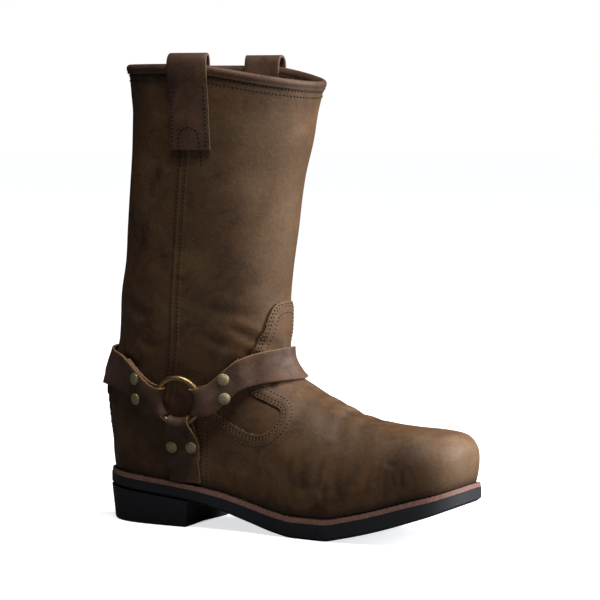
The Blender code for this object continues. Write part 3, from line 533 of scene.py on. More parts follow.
def levelled(points):
    """The same form where z is the height above the last's edge."""
    lifted = points.copy()
    lifted[:, 2] += feather(points[:, 0])
    return form(lifted)


def cast(field, starts, directions, reach=0.30):
    """Where each ray from inside a field leaves it."""
    low = np.zeros(len(starts))
    high = np.full(len(starts), reach)
    for _ in range(24):
        middle = 0.5 * (low + high)
        inside = field(starts + directions * middle[:, None]) < 0
        low = np.where(inside, middle, low)
        high = np.where(inside, high, middle)
    return starts + directions * low[:, None]


def outward(points):
    """Unit normals of the form at points on it."""
    step = 0.0008
    normal = np.zeros_like(points)
    for axis in range(3):
        shift = np.zeros(3)
        shift[axis] = step
        normal[:, axis] = form(points + shift) - form(points - shift)
    return normal / np.linalg.norm(normal, axis=1)[:, None]


def feather_ring(count=720):
    """The last's edge in plan, from the toe round the medial side."""
    angle = np.linspace(0, 2 * np.pi, count, endpoint=False)
    start = np.tile([0.5 * SOLE_LENGTH, 0.0, 0.0], (count, 1))
    direction = np.column_stack([np.cos(angle), -np.sin(angle), np.zeros(count)])
    return cast(levelled, start, direction)[:, :2]


EDGE = feather_ring()


def offset_ring(distance):
    """The last's edge moved out by a distance for each of its points."""
    ahead = np.roll(EDGE, -1, axis=0) - np.roll(EDGE, 1, axis=0)
    ahead /= np.linalg.norm(ahead, axis=1)[:, None]
    normal = np.column_stack([-ahead[:, 1], ahead[:, 0]])
    normal *= np.sign(np.sum(normal * (EDGE - EDGE.mean(axis=0)), axis=1))[:, None]
    return EDGE + normal * np.broadcast_to(distance, len(EDGE))[:, None]


def outline(ring, stations, stop=None):
    """Closed loop from the back round the medial side: x stations are shares of its length."""
    back = ring[:, 0].min()
    front = ring[:, 0].max() if stop is None else stop
    x = back + (front - back) * stations
    medial = ring[ring[:, 1] <= 0]
    lateral = ring[ring[:, 1] >= 0]
    medial = medial[np.argsort(medial[:, 0])]
    lateral = lateral[np.argsort(lateral[:, 0])]
    left = np.column_stack([x, np.interp(x, medial[:, 0], medial[:, 1])])
    right = np.column_stack([x, np.interp(x, lateral[:, 0], lateral[:, 1])])
    return left, right


def full_stations():
    """Station shares that crowd at heel and toe and mark the flat spot under the ball."""
    share = 0.5 * (1 - np.cos(np.pi * np.arange(1, SOLE_STATIONS) / SOLE_STATIONS))
    for mark in (FLAT_START, FLAT_END):
        share[np.argmin(np.abs(share - mark))] = mark
    return share


def loop_of(ring, stations, height, inset=0.0):
    """A closed 3-D loop on an outline: back point, medial side, toe point, lateral side."""
    left, right = outline(ring, stations)
    back = ring[:, 0].min()
    front = ring[:, 0].max()
    middle = 0.5 * (back + front)
    squeeze = 1 - 2 * inset / (front - back)
    back_y = ring[np.argmin(ring[:, 0]), 1]
    front_y = ring[np.argmax(ring[:, 0]), 1]
    flat = [(back, back_y)] + [tuple(p) for p in left] + [(front, front_y)] + [tuple(p) for p in right[::-1]]
    points = []
    for x, y in flat:
        moved = max(abs(y) - inset, 0.0) * math.copysign(1, y)
        points.append((middle + (x - middle) * squeeze, moved, float(height(np.array([x]))[0])))
    return np.array(points)


def strip_cap(start, size):
    """Closes a ring whose point i faces its point size - i."""
    faces = [(start, start + 1, start + size - 1)]
    for place in range(1, size // 2 - 1):
        faces.append((start + place, start + place + 1, start + size - place - 1, start + size - place))
    half = size // 2
    faces.append((start + half - 1, start + half, start + half + 1))
    return faces


def plan_direction(degrees):
    angle = np.radians(degrees)
    return np.column_stack([np.cos(angle), -np.sin(angle), np.zeros(np.size(angle))])


def shaft_centre(z):
    share = z / SHAFT_HEIGHT
    return SOLE_LENGTH * BACK_PART(share) + 0.5 * SHAFT_DEPTH * DEPTH_PART(share)


def collar_height(degrees):
    """The wall's top edge: level at the back and sides, dipping to the front."""
    front = np.clip(np.cos(np.radians(degrees)), 0, 1)
    return SHAFT_HEIGHT - COLLAR_DIP * front**1.5


# Skin of the upper
def edge_lines():
    """For each side, the last's edge from toe to heel: points, run along it, run at the side seam."""
    found = {}
    for side in (-1, 1):
        own = EDGE[EDGE[:, 1] * side >= -1e-9]
        order = np.argsort(np.arctan2(np.abs(own[:, 1]), own[:, 0] - 0.5 * SOLE_LENGTH))
        own = own[order]
        run = run_along(own)
        found[side] = (own, run, np.interp(-SEAM_X, -own[:, 0], run))
    return found


EDGE_LINES = edge_lines()


def edge_place(turns):
    """The last's edge in plan at angles from the front, medial above zero."""
    turned = np.abs(turns)
    part = np.clip(turned / 90, 0, 1)
    place = np.zeros((len(turns), 2))
    for side in (-1, 1):
        own, run, seam = EDGE_LINES[side]
        near = seam * (0.55 * part + 0.45 * part**2)
        far = seam + (run[-1] - seam) * (turned - 90) / 90
        where = np.where(turned <= 90, near, far)
        mine = turns >= 0 if side == -1 else turns < 0
        both = np.column_stack([np.interp(where, run, own[:, 0]), np.interp(where, run, own[:, 1])])
        place[mine] = both[mine]
    return place


def unit(vectors):
    return vectors / np.linalg.norm(vectors, axis=-1, keepdims=True)


def foot_rows(turns, levels, dense=150):
    """Rows from the last's edge to the ankle ring, evenly spaced along each meridian.

    Each meridian is found by an eye that climbs inside the foot from its middle to the ankle.
    """
    edge = edge_place(turns)
    count = len(turns)
    flat = np.zeros(count)
    ankle_x = float(shaft_centre(np.array([ANKLE_HEIGHT]))[0])
    ankle_middle = np.array([ankle_x, 0.0, ANKLE_HEIGHT])
    ankle = cast(form, np.tile(ankle_middle, (count, 1)), plan_direction(turns))
    ankle_eye = ankle_middle - np.array([0, 0, float(feather(np.array([ankle_x]))[0])])
    eye = np.column_stack([np.clip(0.060 + 0.45 * (edge[:, 0] - 0.060), 0.050, 0.170), flat, flat + 0.045])
    low = unit(np.column_stack([edge, flat]) - eye)
    high = unit(ankle - ankle_middle)
    share = np.linspace(0, 1, dense)[None, :, None]
    ways = unit(low[:, None] * (1 - share) + high[:, None] * share)
    eyes = eye[:, None] * (1 - share) + ankle_eye * share
    found = cast(levelled, eyes.reshape(-1, 3), ways.reshape(-1, 3)).reshape(count, dense, 3)
    found[:, 0] = np.column_stack([edge, flat])
    found[..., 2] += feather(found[..., 0])
    found[:, -1] = ankle
    rows = np.zeros((levels + 1, count, 3))
    wanted = np.linspace(0, 1, levels + 1)
    for place, line in enumerate(found):
        run = run_along(line)
        for axis in range(3):
            rows[:, place, axis] = np.interp(wanted * run[-1], run, line[:, axis])
    return rows


def shaft_rows(turns, shares):
    """Rows above the ankle ring: each share is a part of the way up to the collar."""
    rows = []
    for share in shares:
        height = ANKLE_HEIGHT + share * (collar_height(turns) - ANKLE_HEIGHT)
        start = np.column_stack([shaft_centre(height), np.zeros(len(turns)), height])
        rows.append(cast(form, start, plan_direction(turns)))
    return np.array(rows)


def on_skin(points):
    """Moves points near the skin onto it."""
    moved = points.copy()
    step = 0.0008
    for _ in range(4):
        slope = np.zeros_like(moved)
        for axis in range(3):
            shift = np.zeros(3)
            shift[axis] = step
            slope[:, axis] = (form(moved + shift) - form(moved - shift)) / (2 * step)
        moved -= slope * (form(moved) / np.sum(slope**2, axis=1))[:, None]
    return moved


def side_skin(x, z, side):
    """Skin points seen from one side."""
    start = np.column_stack([x, np.zeros(len(x)), z])
    return cast(form, start, np.tile([0.0, side, 0.0], (len(x), 1)))


def front_skin(y, z):
    """Skin points of the shaft and instep seen from the front."""
    start = np.column_stack([np.full(len(y), SEAM_X + 0.03), y, z])
    return cast(form, start, np.tile([1.0, 0.0, 0.0], (len(y), 1)))


def top_skin(x, y):
    """Skin points of the forefoot seen from above."""
    start = np.column_stack([x, y, feather(x) + 0.012])
    return cast(form, start, np.tile([0.0, 0.0, 1.0], (len(x), 1)))


def bend(first, middle, last, count):
    """Points on a bent line through three pairs."""
    t = np.linspace(0, 1, count)[:, None]
    first, middle, last = np.array(first), np.array(middle), np.array(last)
    handle = 2 * middle - 0.5 * (first + last)
    return first * (1 - t) ** 2 + 2 * handle * t * (1 - t) + last * t**2


def nearest(line, points):
    """Distance from each point to a dense line, and the place on it as a share."""
    best = np.full(len(points), 1e9)
    where = np.zeros(len(points))
    for number, spot in enumerate(line):
        away = np.sum((points - spot) ** 2, axis=1)
        closer = away < best
        best = np.where(closer, away, best)
        where = np.where(closer, number, where)
    return np.sqrt(best), where / (len(line) - 1)


# Creases that show from the side, in mm: side, three points as x and z, depth, width
SIDE_CREASES = (
    (-1, 176, 62, 172, 50, 174, 34, 0.45, 3.4),
    (-1, 188, 60, 184, 46, 187, 30, 0.50, 3.6),
    (-1, 201, 62, 198, 48, 203, 32, 0.55, 3.8),
    (-1, 214, 56, 213, 44, 219, 32, 0.45, 3.2),
    (-1, 150, 70, 142, 60, 138, 46, 0.45, 4.0),
    (-1, 120, 66, 114, 54, 112, 42, 0.40, 4.0),
    (-1, 262, 56, 265, 48, 266, 40, 0.50, 1.6),
    (-1, 257, 52, 259, 46, 259, 38, 0.45, 1.4),
    (-1, 268, 60, 272, 53, 273, 45, 0.40, 1.5),
    (-1, 251, 62, 256, 59, 262, 60, 0.40, 2.0),
    (-1, 132, 128, 141, 118, 147, 104, 0.70, 3.2),
    (-1, 126, 140, 136, 130, 145, 122, 0.80, 3.4),
    (-1, 118, 158, 131, 149, 143, 143, 0.80, 3.6),
    (-1, 96, 176, 118, 168, 140, 166, 0.55, 5.0),
    (-1, 100, 152, 112, 144, 124, 142, 0.45, 3.6),
    (-1, 40, 150, 52, 142, 62, 144, 0.60, 4.4),
    (-1, 22, 132, 34, 124, 48, 126, 0.60, 4.0),
    (-1, 28, 176, 44, 166, 60, 164, 0.60, 5.0),
    (1, 178, 60, 174, 48, 176, 32, 0.45, 3.4),
    (1, 192, 58, 189, 46, 193, 30, 0.55, 3.6),
    (1, 206, 56, 204, 44, 210, 32, 0.50, 3.6),
    (1, 152, 66, 144, 56, 140, 44, 0.45, 4.0),
    (1, 116, 64, 110, 54, 108, 42, 0.40, 4.0),
    (1, 258, 50, 260, 44, 261, 38, 0.45, 1.5),
    (1, 132, 128, 141, 118, 147, 104, 0.70, 3.2),
    (1, 120, 156, 132, 148, 143, 141, 0.80, 3.6),
    (1, 98, 170, 120, 163, 140, 162, 0.55, 5.0),
    (1, 34, 152, 46, 143, 60, 145, 0.60, 4.4),
    (1, 24, 176, 40, 168, 58, 166, 0.60, 5.0),
    (1, 20, 128, 32, 121, 46, 124, 0.60, 4.0),
)

# Flex lines over the vamp in mm: three points as x and y, depth, width
TOP_CREASES = (
    (196, -34, 188, -4, 195, 30, 0.55, 4.2),
    (210, -36, 203, 0, 209, 34, 0.60, 4.4),
    (224, -34, 219, -2, 224, 32, 0.40, 4.2),
    (184, -26, 177, 0, 183, 24, 0.45, 4.0),
    (240, -30, 237, -6, 240, 14, 0.30, 3.0),
    (262, -30, 266, -10, 264, 8, 0.25, 2.2),
)

# Dents and swells of the worn shaft, in degrees and mm: angle from the front, height, angular reach,
# reach in height, rise
SHAFT_SWELLS = (
    (14, 300, 16, 26, 1.0),
    (36, 268, 15, 34, -1.1),
    (58, 306, 14, 28, 0.9),
    (20, 222, 20, 24, -0.9),
    (48, 206, 22, 22, 1.0),
    (118, 284, 20, 34, -1.0),
    (142, 246, 18, 30, 1.0),
    (128, 196, 20, 24, -1.1),
    (160, 306, 16, 30, 0.8),
    (168, 178, 16, 18, 1.3),
    (172, 206, 18, 16, -1.0),
    (-16, 262, 16, 30, -0.9),
    (-40, 300, 16, 28, 0.9),
    (-52, 230, 20, 26, 1.0),
    (-30, 196, 18, 20, -0.9),
    (-116, 270, 20, 34, 1.0),
    (-140, 222, 20, 28, -1.0),
    (-156, 292, 18, 30, 0.8),
    (6, 176, 16, 14, -0.8),
)


def crease_lines():
    lines = []
    for side, x1, z1, x2, z2, x3, z3, depth, width in SIDE_CREASES:
        flat = 0.001 * bend((x1, z1), (x2, z2), (x3, z3), 26)
        lines.append((side_skin(flat[:, 0], flat[:, 1], side), 0.001 * depth, 0.001 * width))
    for x1, y1, x2, y2, x3, y3, depth, width in TOP_CREASES:
        flat = 0.001 * bend((x1, y1), (x2, y2), (x3, y3), 40)
        lines.append((top_skin(flat[:, 0], flat[:, 1]), 0.001 * depth, 0.001 * width))
    return lines


CREASE_LINES = crease_lines()


def relief(points, swells=SHAFT_SWELLS):
    """How far the worn leather stands off its smooth form."""
    rise = np.zeros(len(points))
    for line, depth, width in CREASE_LINES:
        reach = 4.5 * width
        low = line.min(axis=0) - reach
        high = line.max(axis=0) + reach
        close = np.all((points > low) & (points < high), axis=1)
        if not close.any():
            continue
        away, share = nearest(line, points[close])
        fade = np.sin(np.pi * np.clip(share, 0.02, 0.98)) ** 0.7
        valley = -np.exp(-((away / width) ** 2))
        bank = 0.5 * np.exp(-(((away - 1.9 * width) / width) ** 2))
        rise[close] += depth * fade * (valley + bank)
    x, y, z = points[:, 0], points[:, 1], points[:, 2]
    turn = np.degrees(np.arctan2(-y, x - shaft_centre(z)))
    for angle, height, wide, tall, amount in swells:
        off = (turn - angle + 180) % 360 - 180
        rise += 0.001 * amount * np.exp(-((off / wide) ** 2) - ((z - 0.001 * height) / (0.001 * tall)) ** 2)
    calm = np.clip((SHAFT_HEIGHT - 0.004 - z) / 0.02, 0, 1) * np.clip((z - feather(x)) / 0.006, 0, 1)
    return rise * calm


def dressed(points, height):
    """Skin points raised by a height and by the leather's relief, and their normals."""
    normal = outward(points)
    return points + normal * (height + relief(points))[:, None], normal


# Meshes
def add_piece(name, points, faces, finishes, replaced, marks=None, slots_of_faces=None):
    """A shown piece from points measured from the sole's back edge."""
    mesh = bpy.data.meshes.new(name)
    shifted = np.array(points, dtype=float) - np.array([HEEL_CENTRE, 0.0, 0.0])
    mesh.from_pydata(shifted.tolist(), [], [tuple(int(v) for v in face) for face in faces])
    for finish in finishes:
        mesh.materials.append(finish)
    if slots_of_faces is not None:
        mesh.polygons.foreach_set("material_index", np.array(slots_of_faces, dtype=np.int32))
    for label, values in (marks or {}).items():
        layer = mesh.attributes.new(label, "FLOAT", "POINT")
        layer.data.foreach_set("value", np.array(values, dtype=np.float32))
    mesh.shade_smooth()
    mesh.set_sharp_from_angle(angle=math.radians(45))
    item = bpy.data.objects.new(name, mesh)
    bpy.context.scene.collection.objects.link(item)
    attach(item, "root")
    if replaced:
        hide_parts(*replaced)
    return item


def ring_faces(rings, size, closed=True, hoop=False):
    """Quads between rings of points: closed joins each ring's ends, hoop joins last ring to first."""
    faces = []
    for ring in range(rings if hoop else rings - 1):
        after = (ring + 1) % rings
        for place in range(size if closed else size - 1):
            side = (place + 1) % size
            low, high = ring * size, after * size
            faces.append((low + place, low + side, high + side, high + place))
    return faces


def split_at(points, triangles, value, level):
    """Cuts triangles along the line where a value at the points passes a level."""
    above = value > level
    count = above[triangles].sum(axis=1)
    crossed = (count == 1) | (count == 2)
    kept = triangles[~crossed].tolist()
    new_points = []
    new_values = []
    made = {}

    def cut(a, b):
        key = (min(a, b), max(a, b))
        if key not in made:
            part = (level - value[a]) / (value[b] - value[a])
            made[key] = len(points) + len(new_points)
            new_points.append(points[a] * (1 - part) + points[b] * part)
            new_values.append(level)
        return made[key]

    for triangle in triangles[crossed]:
        flags = above[triangle]
        lone = flags.sum() == 1
        first = int(np.argmax(flags if lone else ~flags))
        a, b, c = (int(triangle[(first + k) % 3]) for k in range(3))
        ab = cut(a, b)
        ac = cut(a, c)
        kept += [(a, ab, ac), (ab, b, c), (ab, c, ac)]
    if new_points:
        points = np.vstack([points, new_points])
        value = np.concatenate([value, new_values])
    return points, np.array(kept), value


def thicken(item, thickness, offset, rim_material, bevel=0.0):
    """Gives a sheet its thickness, with its cut edge in another finish and rounded a little."""
    shell = item.modifiers.new("thickness", "SOLIDIFY")
    shell.thickness = thickness
    shell.offset = offset
    shell.use_even_offset = offset == 0.0
    shell.material_offset_rim = rim_material
    if bevel:
        round_edge = item.modifiers.new("cut_edge", "BEVEL")
        round_edge.width = bevel
        round_edge.segments = 2
        round_edge.limit_method = "ANGLE"
        round_edge.angle_limit = math.radians(60)
    return item


# Upper
def wide_turns(step, seam_step):
    """Angles all round, closer at the two side seams, signed from the front."""
    plain = np.arange(-180, 180, step)
    near = np.arange(-SEAM_BAND, SEAM_BAND + 1e-6, seam_step)
    plain = plain[np.abs(np.abs(plain) - 90) > SEAM_BAND]
    return np.sort(np.concatenate([plain, 90 + near, -90 + near]))


def seam_rise(points):
    """The lapped side seam: a raised strip with a fine groove along its middle."""
    z = points[:, 2]
    away = points[:, 0] - shaft_centre(z)
    strip = np.clip(1 - (np.abs(away) / SEAM_HALF_WIDTH) ** 6, 0, 1) ** 0.5
    strip = np.where(np.abs(away) < SEAM_HALF_WIDTH, strip, 0)
    groove = np.exp(-((away / SEAM_GROOVE_WIDTH) ** 2))
    calm = np.clip((z - 0.085) / 0.012, 0, 1)
    return (SEAM_RAISE * strip - SEAM_GROOVE_DEPTH * groove) * calm


def make_upper(finishes):
    turns = wide_turns(UPPER_STEP, SEAM_STEP)
    foot = foot_rows(turns, UPPER_FOOT_ROWS)
    shaft = shaft_rows(turns, np.linspace(0, 1, UPPER_SHAFT_ROWS + 1)[1:])
    skin = np.concatenate([foot, shaft])
    rings, size, _ = skin.shape
    flat = skin.reshape(-1, 3)
    raised, normal = dressed(flat, 0.0)
    raised += normal * seam_rise(flat)[:, None]
    inner_rows = np.unique(np.concatenate([np.arange(0, rings, 6), [rings - 1]]))[::-1]
    inner = skin[inner_rows].reshape(-1, 3)
    inner = inner - outward(inner) * (WALL - 0.4 * np.minimum(relief(inner), 0.0))[:, None]
    points = np.vstack([raised, inner])
    total = rings + len(inner_rows)
    faces = ring_faces(total, size, hoop=True)
    slots = [0] * ((rings - 1) * size) + [1] * ((total - rings + 1) * size)
    clean = np.zeros(len(inner))
    dust = np.concatenate([wear_of(flat), clean])
    # painted shade and toe scuffs for the outer skin, none for the lining
    shade_tone = np.concatenate([shade_and_scuff_tone(flat), clean])
    add_piece(
        "upper_leather",
        points,
        faces,
        (finishes["leather"], finishes["lining"]),
        ("upper",),
        {"worn": dust, "painted_shade_scuffs": shade_tone},
        slots,
    )


# Rubbed places: x, y, height, their three reaches and the amount of wear. Low ones count their
# height from the upper's lower edge, the others from the floor.
WORN_SPOTS = (
    (0.296, -0.022, 0.026, 0.016, 0.034, 0.022, 1.00),
    (0.294, 0.022, 0.026, 0.016, 0.034, 0.022, 0.90),
    (0.278, -0.030, 0.046, 0.010, 0.016, 0.008, 0.70),
    (0.270, 0.000, 0.044, 0.022, 0.045, 0.008, 0.55),
    (0.190, -0.020, 0.070, 0.040, 0.022, 0.014, 0.30),
    (0.150, 0.000, 0.112, 0.020, 0.030, 0.018, 0.30),
    (0.148, -0.030, 0.290, 0.030, 0.030, 0.040, 0.45),
    (0.155, 0.010, 0.230, 0.030, 0.040, 0.050, 0.35),
    (0.120, -0.050, 0.310, 0.030, 0.030, 0.030, 0.25),
)
LOW_SPOT = 0.06


def wear_of(points):
    """Where the leather is rubbed lighter: toe brow and corner, instep, flex lines, the collar's front."""
    x, y, z = points[:, 0], points[:, 1], points[:, 2]
    level = z - feather(x)
    worn = np.zeros(len(points))
    for px, py, pz, rx, ry, rz, amount in WORN_SPOTS:
        height = level if pz < LOW_SPOT else z
        worn += amount * np.exp(-(((x - px) / rx) ** 2) - ((y - py) / ry) ** 2 - ((height - pz) / rz) ** 2)
    return np.clip(worn, 0, 1)


# Dark scuffs behind the toe's corner, in mm: place along the foot, height over the welt, width,
# reach in height, depth of tone
TOE_SCUFFS = (
    (240, 20, 2.2, 11, 0.55),
    (247, 26, 1.8, 13, 0.60),
    (253, 18, 2.0, 14, 0.75),
    (259, 24, 2.4, 15, 0.85),
    (266, 20, 3.0, 16, 0.80),
    (228, 30, 5.0, 8, 0.45),
    (205, 18, 4.0, 12, 0.35),
)


def painted_shade_and_toe_scuffs(points):
    """Painted shade along the welt, round the harness and under the collar, with a darker patch low on the
    toe and its dark scuffs.
    """
    x, z = points[:, 0], points[:, 2]
    level = z - feather(x)
    # painted shade along the upper's lower edge, where it meets the welt
    welt_line = np.exp(-((level / 0.005) ** 2))
    # a darker patch low on the toe, and the toe's dark scuffs
    toe = 0.45 * np.exp(-(((x - 0.262) / 0.016) ** 2) - ((level - 0.022) / 0.018) ** 2)
    for place, height, width, tall, tone in TOE_SCUFFS:
        away = (1000 * x - place - 0.12 * (1000 * level - height)) / width
        toe = np.maximum(toe, tone * np.exp(-(away**2) - ((1000 * level - height) / tall) ** 2))
    # painted shade in a band round the harness straps
    band = np.exp(-(((z - 0.112) / 0.012) ** 2)) * np.clip((0.165 - x) / 0.02, 0, 1)
    # painted shade under the rolled collar
    collar = np.exp(-(((z - SHAFT_HEIGHT + 0.006) / 0.006) ** 2))
    return np.clip(0.9 * welt_line + toe + 0.35 * band + 0.4 * collar, 0, 1)


def shade_and_scuff_tone(points):
    """Dark tone of the leather: painted shade in the creases, with the painted shade and toe scuffs found
    above.
    """
    # painted shade in the crease valleys, full at the set depth
    deep = np.clip(-relief(points, ()) / CREASE_SHADE_DEPTH, 0, 1)
    return np.maximum(0.6 * deep, painted_shade_and_toe_scuffs(points))


# Vamp
def smooth_line(points, passes):
    """Rounds the corners of a dense line, its ends kept."""
    line = points.copy()
    for _ in range(passes):
        line[1:-1] = 0.5 * line[1:-1] + 0.25 * (line[:-2] + line[2:])
    return line


def resample(points, pitch):
    """Places points anew along a line at an even pitch; further columns follow the first three."""
    run = run_along(points[:, :3])
    count = max(int(round(run[-1] / pitch)), 1)
    wanted = np.linspace(0, run[-1], count + 1)
    return np.column_stack([np.interp(wanted, run, points[:, axis]) for axis in range(points.shape[1])])


def vamp_half_edge(side):
    """The vamp's upper edge on one side, from the welt to the top of the flap, on the skin."""
    table = np.array([(SOLE_LENGTH * a, ANKLE_HEIGHT * b) for a, b in VAMP_SIDE[1:]])
    table = 0.001 * resample(1000 * table, 0.5)
    low = resample(np.array([(SOLE_LENGTH * VAMP_SIDE[0][0], 0.030), tuple(table[0])]), 0.0005)
    flat = np.vstack([low[:-1], table])
    flank = side_skin(flat[:, 0], flat[:, 1], side)
    flap = resample(np.array([(BALL_WIDTH * a, ANKLE_HEIGHT * b) for a, b in VAMP_FLAP]), 0.0005)
    front = front_skin(side * flap[:, 0], flap[:, 1])
    reached = np.argmax((flank[:, 0] > 0.14) & (np.abs(flank[:, 1]) < BALL_WIDTH * VAMP_FLAP[0][0]))
    if reached:
        flank = flank[:reached]
    front = front[front[:, 2] > flank[-1, 2] + 0.002]
    line = resample(np.vstack([flank, front]), 0.001)
    return smooth_line(line, 26)


def vamp_edge():
    """The whole upper edge, medial welt over the flap to the lateral welt."""
    medial = vamp_half_edge(-1)
    lateral = vamp_half_edge(1)
    line = np.vstack([medial, lateral[-2::-1]])
    top = len(medial) - 1
    line[top - 12 : top + 13] = smooth_line(line[top - 12 : top + 13], 30)
    return on_skin(resample(line, 0.0008))


def vamp_reach(points, edge):
    """Distance in from the vamp's edge, below zero outside it."""
    tree = tree_of(edge)
    found = [tree.find(point) for point in points]
    away = np.array([hit[2] for hit in found])
    number = np.array([hit[1] for hit in found])
    ahead = unit(edge[np.minimum(number + 1, len(edge) - 1)] - edge[np.maximum(number - 1, 0)])
    across = np.cross(ahead, outward(edge)[number])
    sense = np.sum((points - edge[number]) * across, axis=1)
    return np.where(sense > 0, away, -away)


def make_vamp(finishes, edge):
    turns = np.arange(-VAMP_TURN, VAMP_TURN + 0.01, VAMP_STEP)
    foot = foot_rows(turns, VAMP_FOOT_ROWS)
    shaft = shaft_rows(turns, np.linspace(0, VAMP_SHAFT_SHARE, VAMP_SHAFT_ROWS + 1)[1:])
    skin = np.concatenate([foot, shaft])
    rings, size, _ = skin.shape
    points = skin.reshape(-1, 3)
    triangles = []
    for a, b, c, d in ring_faces(rings, size, closed=False):
        triangles += [(a, b, c), (a, c, d)]
    triangles = np.array(triangles)
    reach = vamp_reach(points, edge)
    near = (reach[triangles] > -0.006).any(axis=1)
    triangles = triangles[near]
    for level in (0.0, VAMP_RIM_LINE):
        points, triangles, reach = split_at(points, triangles, reach, level)
    triangles = triangles[reach[triangles].mean(axis=1) > 0]
    used = np.unique(triangles)
    renumber = np.zeros(len(points), dtype=int)
    renumber[used] = np.arange(len(used))
    points, reach, triangles = points[used], reach[used], renumber[triangles]
    seat = np.where(reach < 0.5 * VAMP_RIM_LINE, 0.75, 1.0) * VAMP_THICKNESS + GAP
    swell = 0.0003 * np.exp(-(((reach - 0.0062) / 0.0022) ** 2))
    raised, normal = dressed(points, seat + swell)
    corners = raised[triangles]
    facing = np.cross(corners[:, 1] - corners[:, 0], corners[:, 2] - corners[:, 0])
    inward = np.sum(facing * normal[triangles[:, 0]], axis=1) < 0
    triangles[inward] = triangles[inward][:, ::-1]
    outer_rows = np.exp(-(((reach - 0.0030) / 0.0026) ** 2))
    inner_row = np.exp(-(((reach - VAMP_ROWS[2]) / 0.0014) ** 2))
    rubbed = outer_rows + 0.7 * inner_row
    # the second mark is painted shade with the toe's scuffs
    item = add_piece(
        "vamp_leather",
        raised,
        triangles,
        (finishes["leather"], finishes["raw_edge"]),
        ("vamp",),
        {"worn": np.clip(wear_of(points) + VAMP_BAND_WEAR * rubbed, 0, 1), "painted_shade_scuffs": shade_and_scuff_tone(points)},
    )
    thicken(item, VAMP_THICKNESS - 0.0001, -1.0, 1)


# Stitches
def stitch_meshes(path, normal, length, thread, rise):
    """Arched capsules of thread along a path, their ends sunk in the leather."""
    centre = 0.5 * (path[1:] + path[:-1])
    along = unit(path[1:] - path[:-1])
    up = unit(0.5 * (normal[1:] + normal[:-1]))
    across = np.cross(up, along)
    points = []
    for place, tall, thick in STITCH_RINGS:
        middle = centre + along * (place * length) + up * (tall * rise)
        for turn in np.radians(np.arange(0, 360, 360 // STITCH_SIDES)):
            points.append(middle + (across * np.cos(turn) + up * np.sin(turn)) * (0.5 * thread * thick))
    block = np.array(points).transpose(1, 0, 2)
    size = block.shape[1]
    own = ring_faces(len(STITCH_RINGS), STITCH_SIDES)
    own += [tuple(range(STITCH_SIDES)), tuple(range(size - STITCH_SIDES, size))]
    faces = []
    for number in range(len(block)):
        faces += [tuple(number * size + v for v in face) for face in own]
    return block.reshape(-1, 3), faces


def stitched(name, runs, finish, pitch=STITCH_PITCH, thread=THREAD):
    """One piece of thread from several runs of points and normals."""
    points = []
    faces = []
    count = 0
    for path, normal in runs:
        both = resample(np.hstack([path, normal]), pitch)
        length = STITCH_LENGTH * pitch
        block, own = stitch_meshes(both[:, :3], both[:, 3:], length, thread, STITCH_RISE * thread)
        points.append(block)
        faces += [tuple(v + count for v in face) for face in own]
        count += len(block)
    return add_piece(name, np.vstack(points), faces, (finish,), ())


def inset_line(edge, distance):
    """A line on the skin at a distance in from the vamp's edge, without the loops of tight bends."""
    ahead = unit(np.roll(edge, -1, axis=0) - np.roll(edge, 1, axis=0))
    ahead[0] = ahead[1]
    ahead[-1] = ahead[-2]
    across = np.cross(ahead, outward(edge))
    moved = on_skin(edge + across * distance)
    tree = tree_of(edge)
    clear = np.array([tree.find(point)[2] for point in moved]) > 0.94 * distance
    return smooth_line(moved[clear], 4)


def make_vamp_stitches(finishes, edge):
    runs = []
    for row in VAMP_ROWS:
        line = inset_line(edge, row)
        line = line[line[:, 2] > feather(line[:, 0]) + 0.004]
        runs.append(dressed(line, GAP + VAMP_THICKNESS - STITCH_SINK))
    stitched("vamp_stitches", runs, finishes["thread"])


def make_seam_stitches(finishes):
    for side, label in SIDES:
        runs = []
        for aside in (-SEAM_ROW_ASIDE, SEAM_ROW_ASIDE):
            z = np.arange(RING_HEIGHT + 0.006, SHAFT_HEIGHT - LOOP_LENGTH - 0.002, 0.002)
            line = side_skin(shaft_centre(z) + aside, z, side)
            runs.append(dressed(line, SEAM_RAISE - STITCH_SINK))
        stitched(f"side_seam_stitches_{label}", runs, finishes["thread"])


def make_collar_stitches(finishes):
    runs = []
    turns = np.arange(-180, 180.5, 1.0)
    for drop in COLLAR_ROWS:
        height = collar_height(turns) - drop
        start = np.column_stack([shaft_centre(height), np.zeros(len(turns)), height])
        line = cast(form, start, plan_direction(turns))
        runs.append(dressed(line, seam_rise(line) - STITCH_SINK))
    stitched("collar_stitches", runs, finishes["thread"])


# Solids taken over from the part's source, at a finer mesh
def rounded(rows, passes):
    """Cuts the corners of a run of rows, its ends kept."""
    rows = np.array(rows)
    for _ in range(passes):
        near = 0.75 * rows[:-1] + 0.25 * rows[1:]
        far = 0.25 * rows[:-1] + 0.75 * rows[1:]
        cut = np.stack([near, far], axis=1).reshape(-1, *rows.shape[1:])
        rows = np.concatenate([rows[:1], cut, rows[-1:]])
    return rows


def sheet_solid(name, rows, thickness, finish):
    rows = rounded(rows, 2)
    count, size, _ = rows.shape
    faces = ring_faces(count, size, closed=False)
    item = add_piece(f"{name}_leather", rows.reshape(-1, 3), faces, finish, (name,))
    return thicken(item, thickness, 0.0, 1, 0.0004)


def hoop_solid(name, sections, finish):
    count = len(sections)
    size = len(sections[0])
    faces = ring_faces(count, size, hoop=True)
    slots = [0 if k % size == 0 or len(finish) == 1 else 1 for k in range(len(faces))]
    points = np.vstack(sections)
    return add_piece(f"{name}_hoop", points, faces, finish, (name,), None, slots)


def stacked_solid(name, rings, finish):
    size = len(rings[0])
    faces = ring_faces(len(rings), size) + strip_cap(0, size) + strip_cap((len(rings) - 1) * size, size)
    item = add_piece(f"{name}_body", np.vstack(rings), faces, finish, (name,))
    soft = item.modifiers.new("worn_edge", "BEVEL")
    soft.width = 0.0006
    soft.segments = 2
    soft.angle_limit = math.radians(40)
    return item


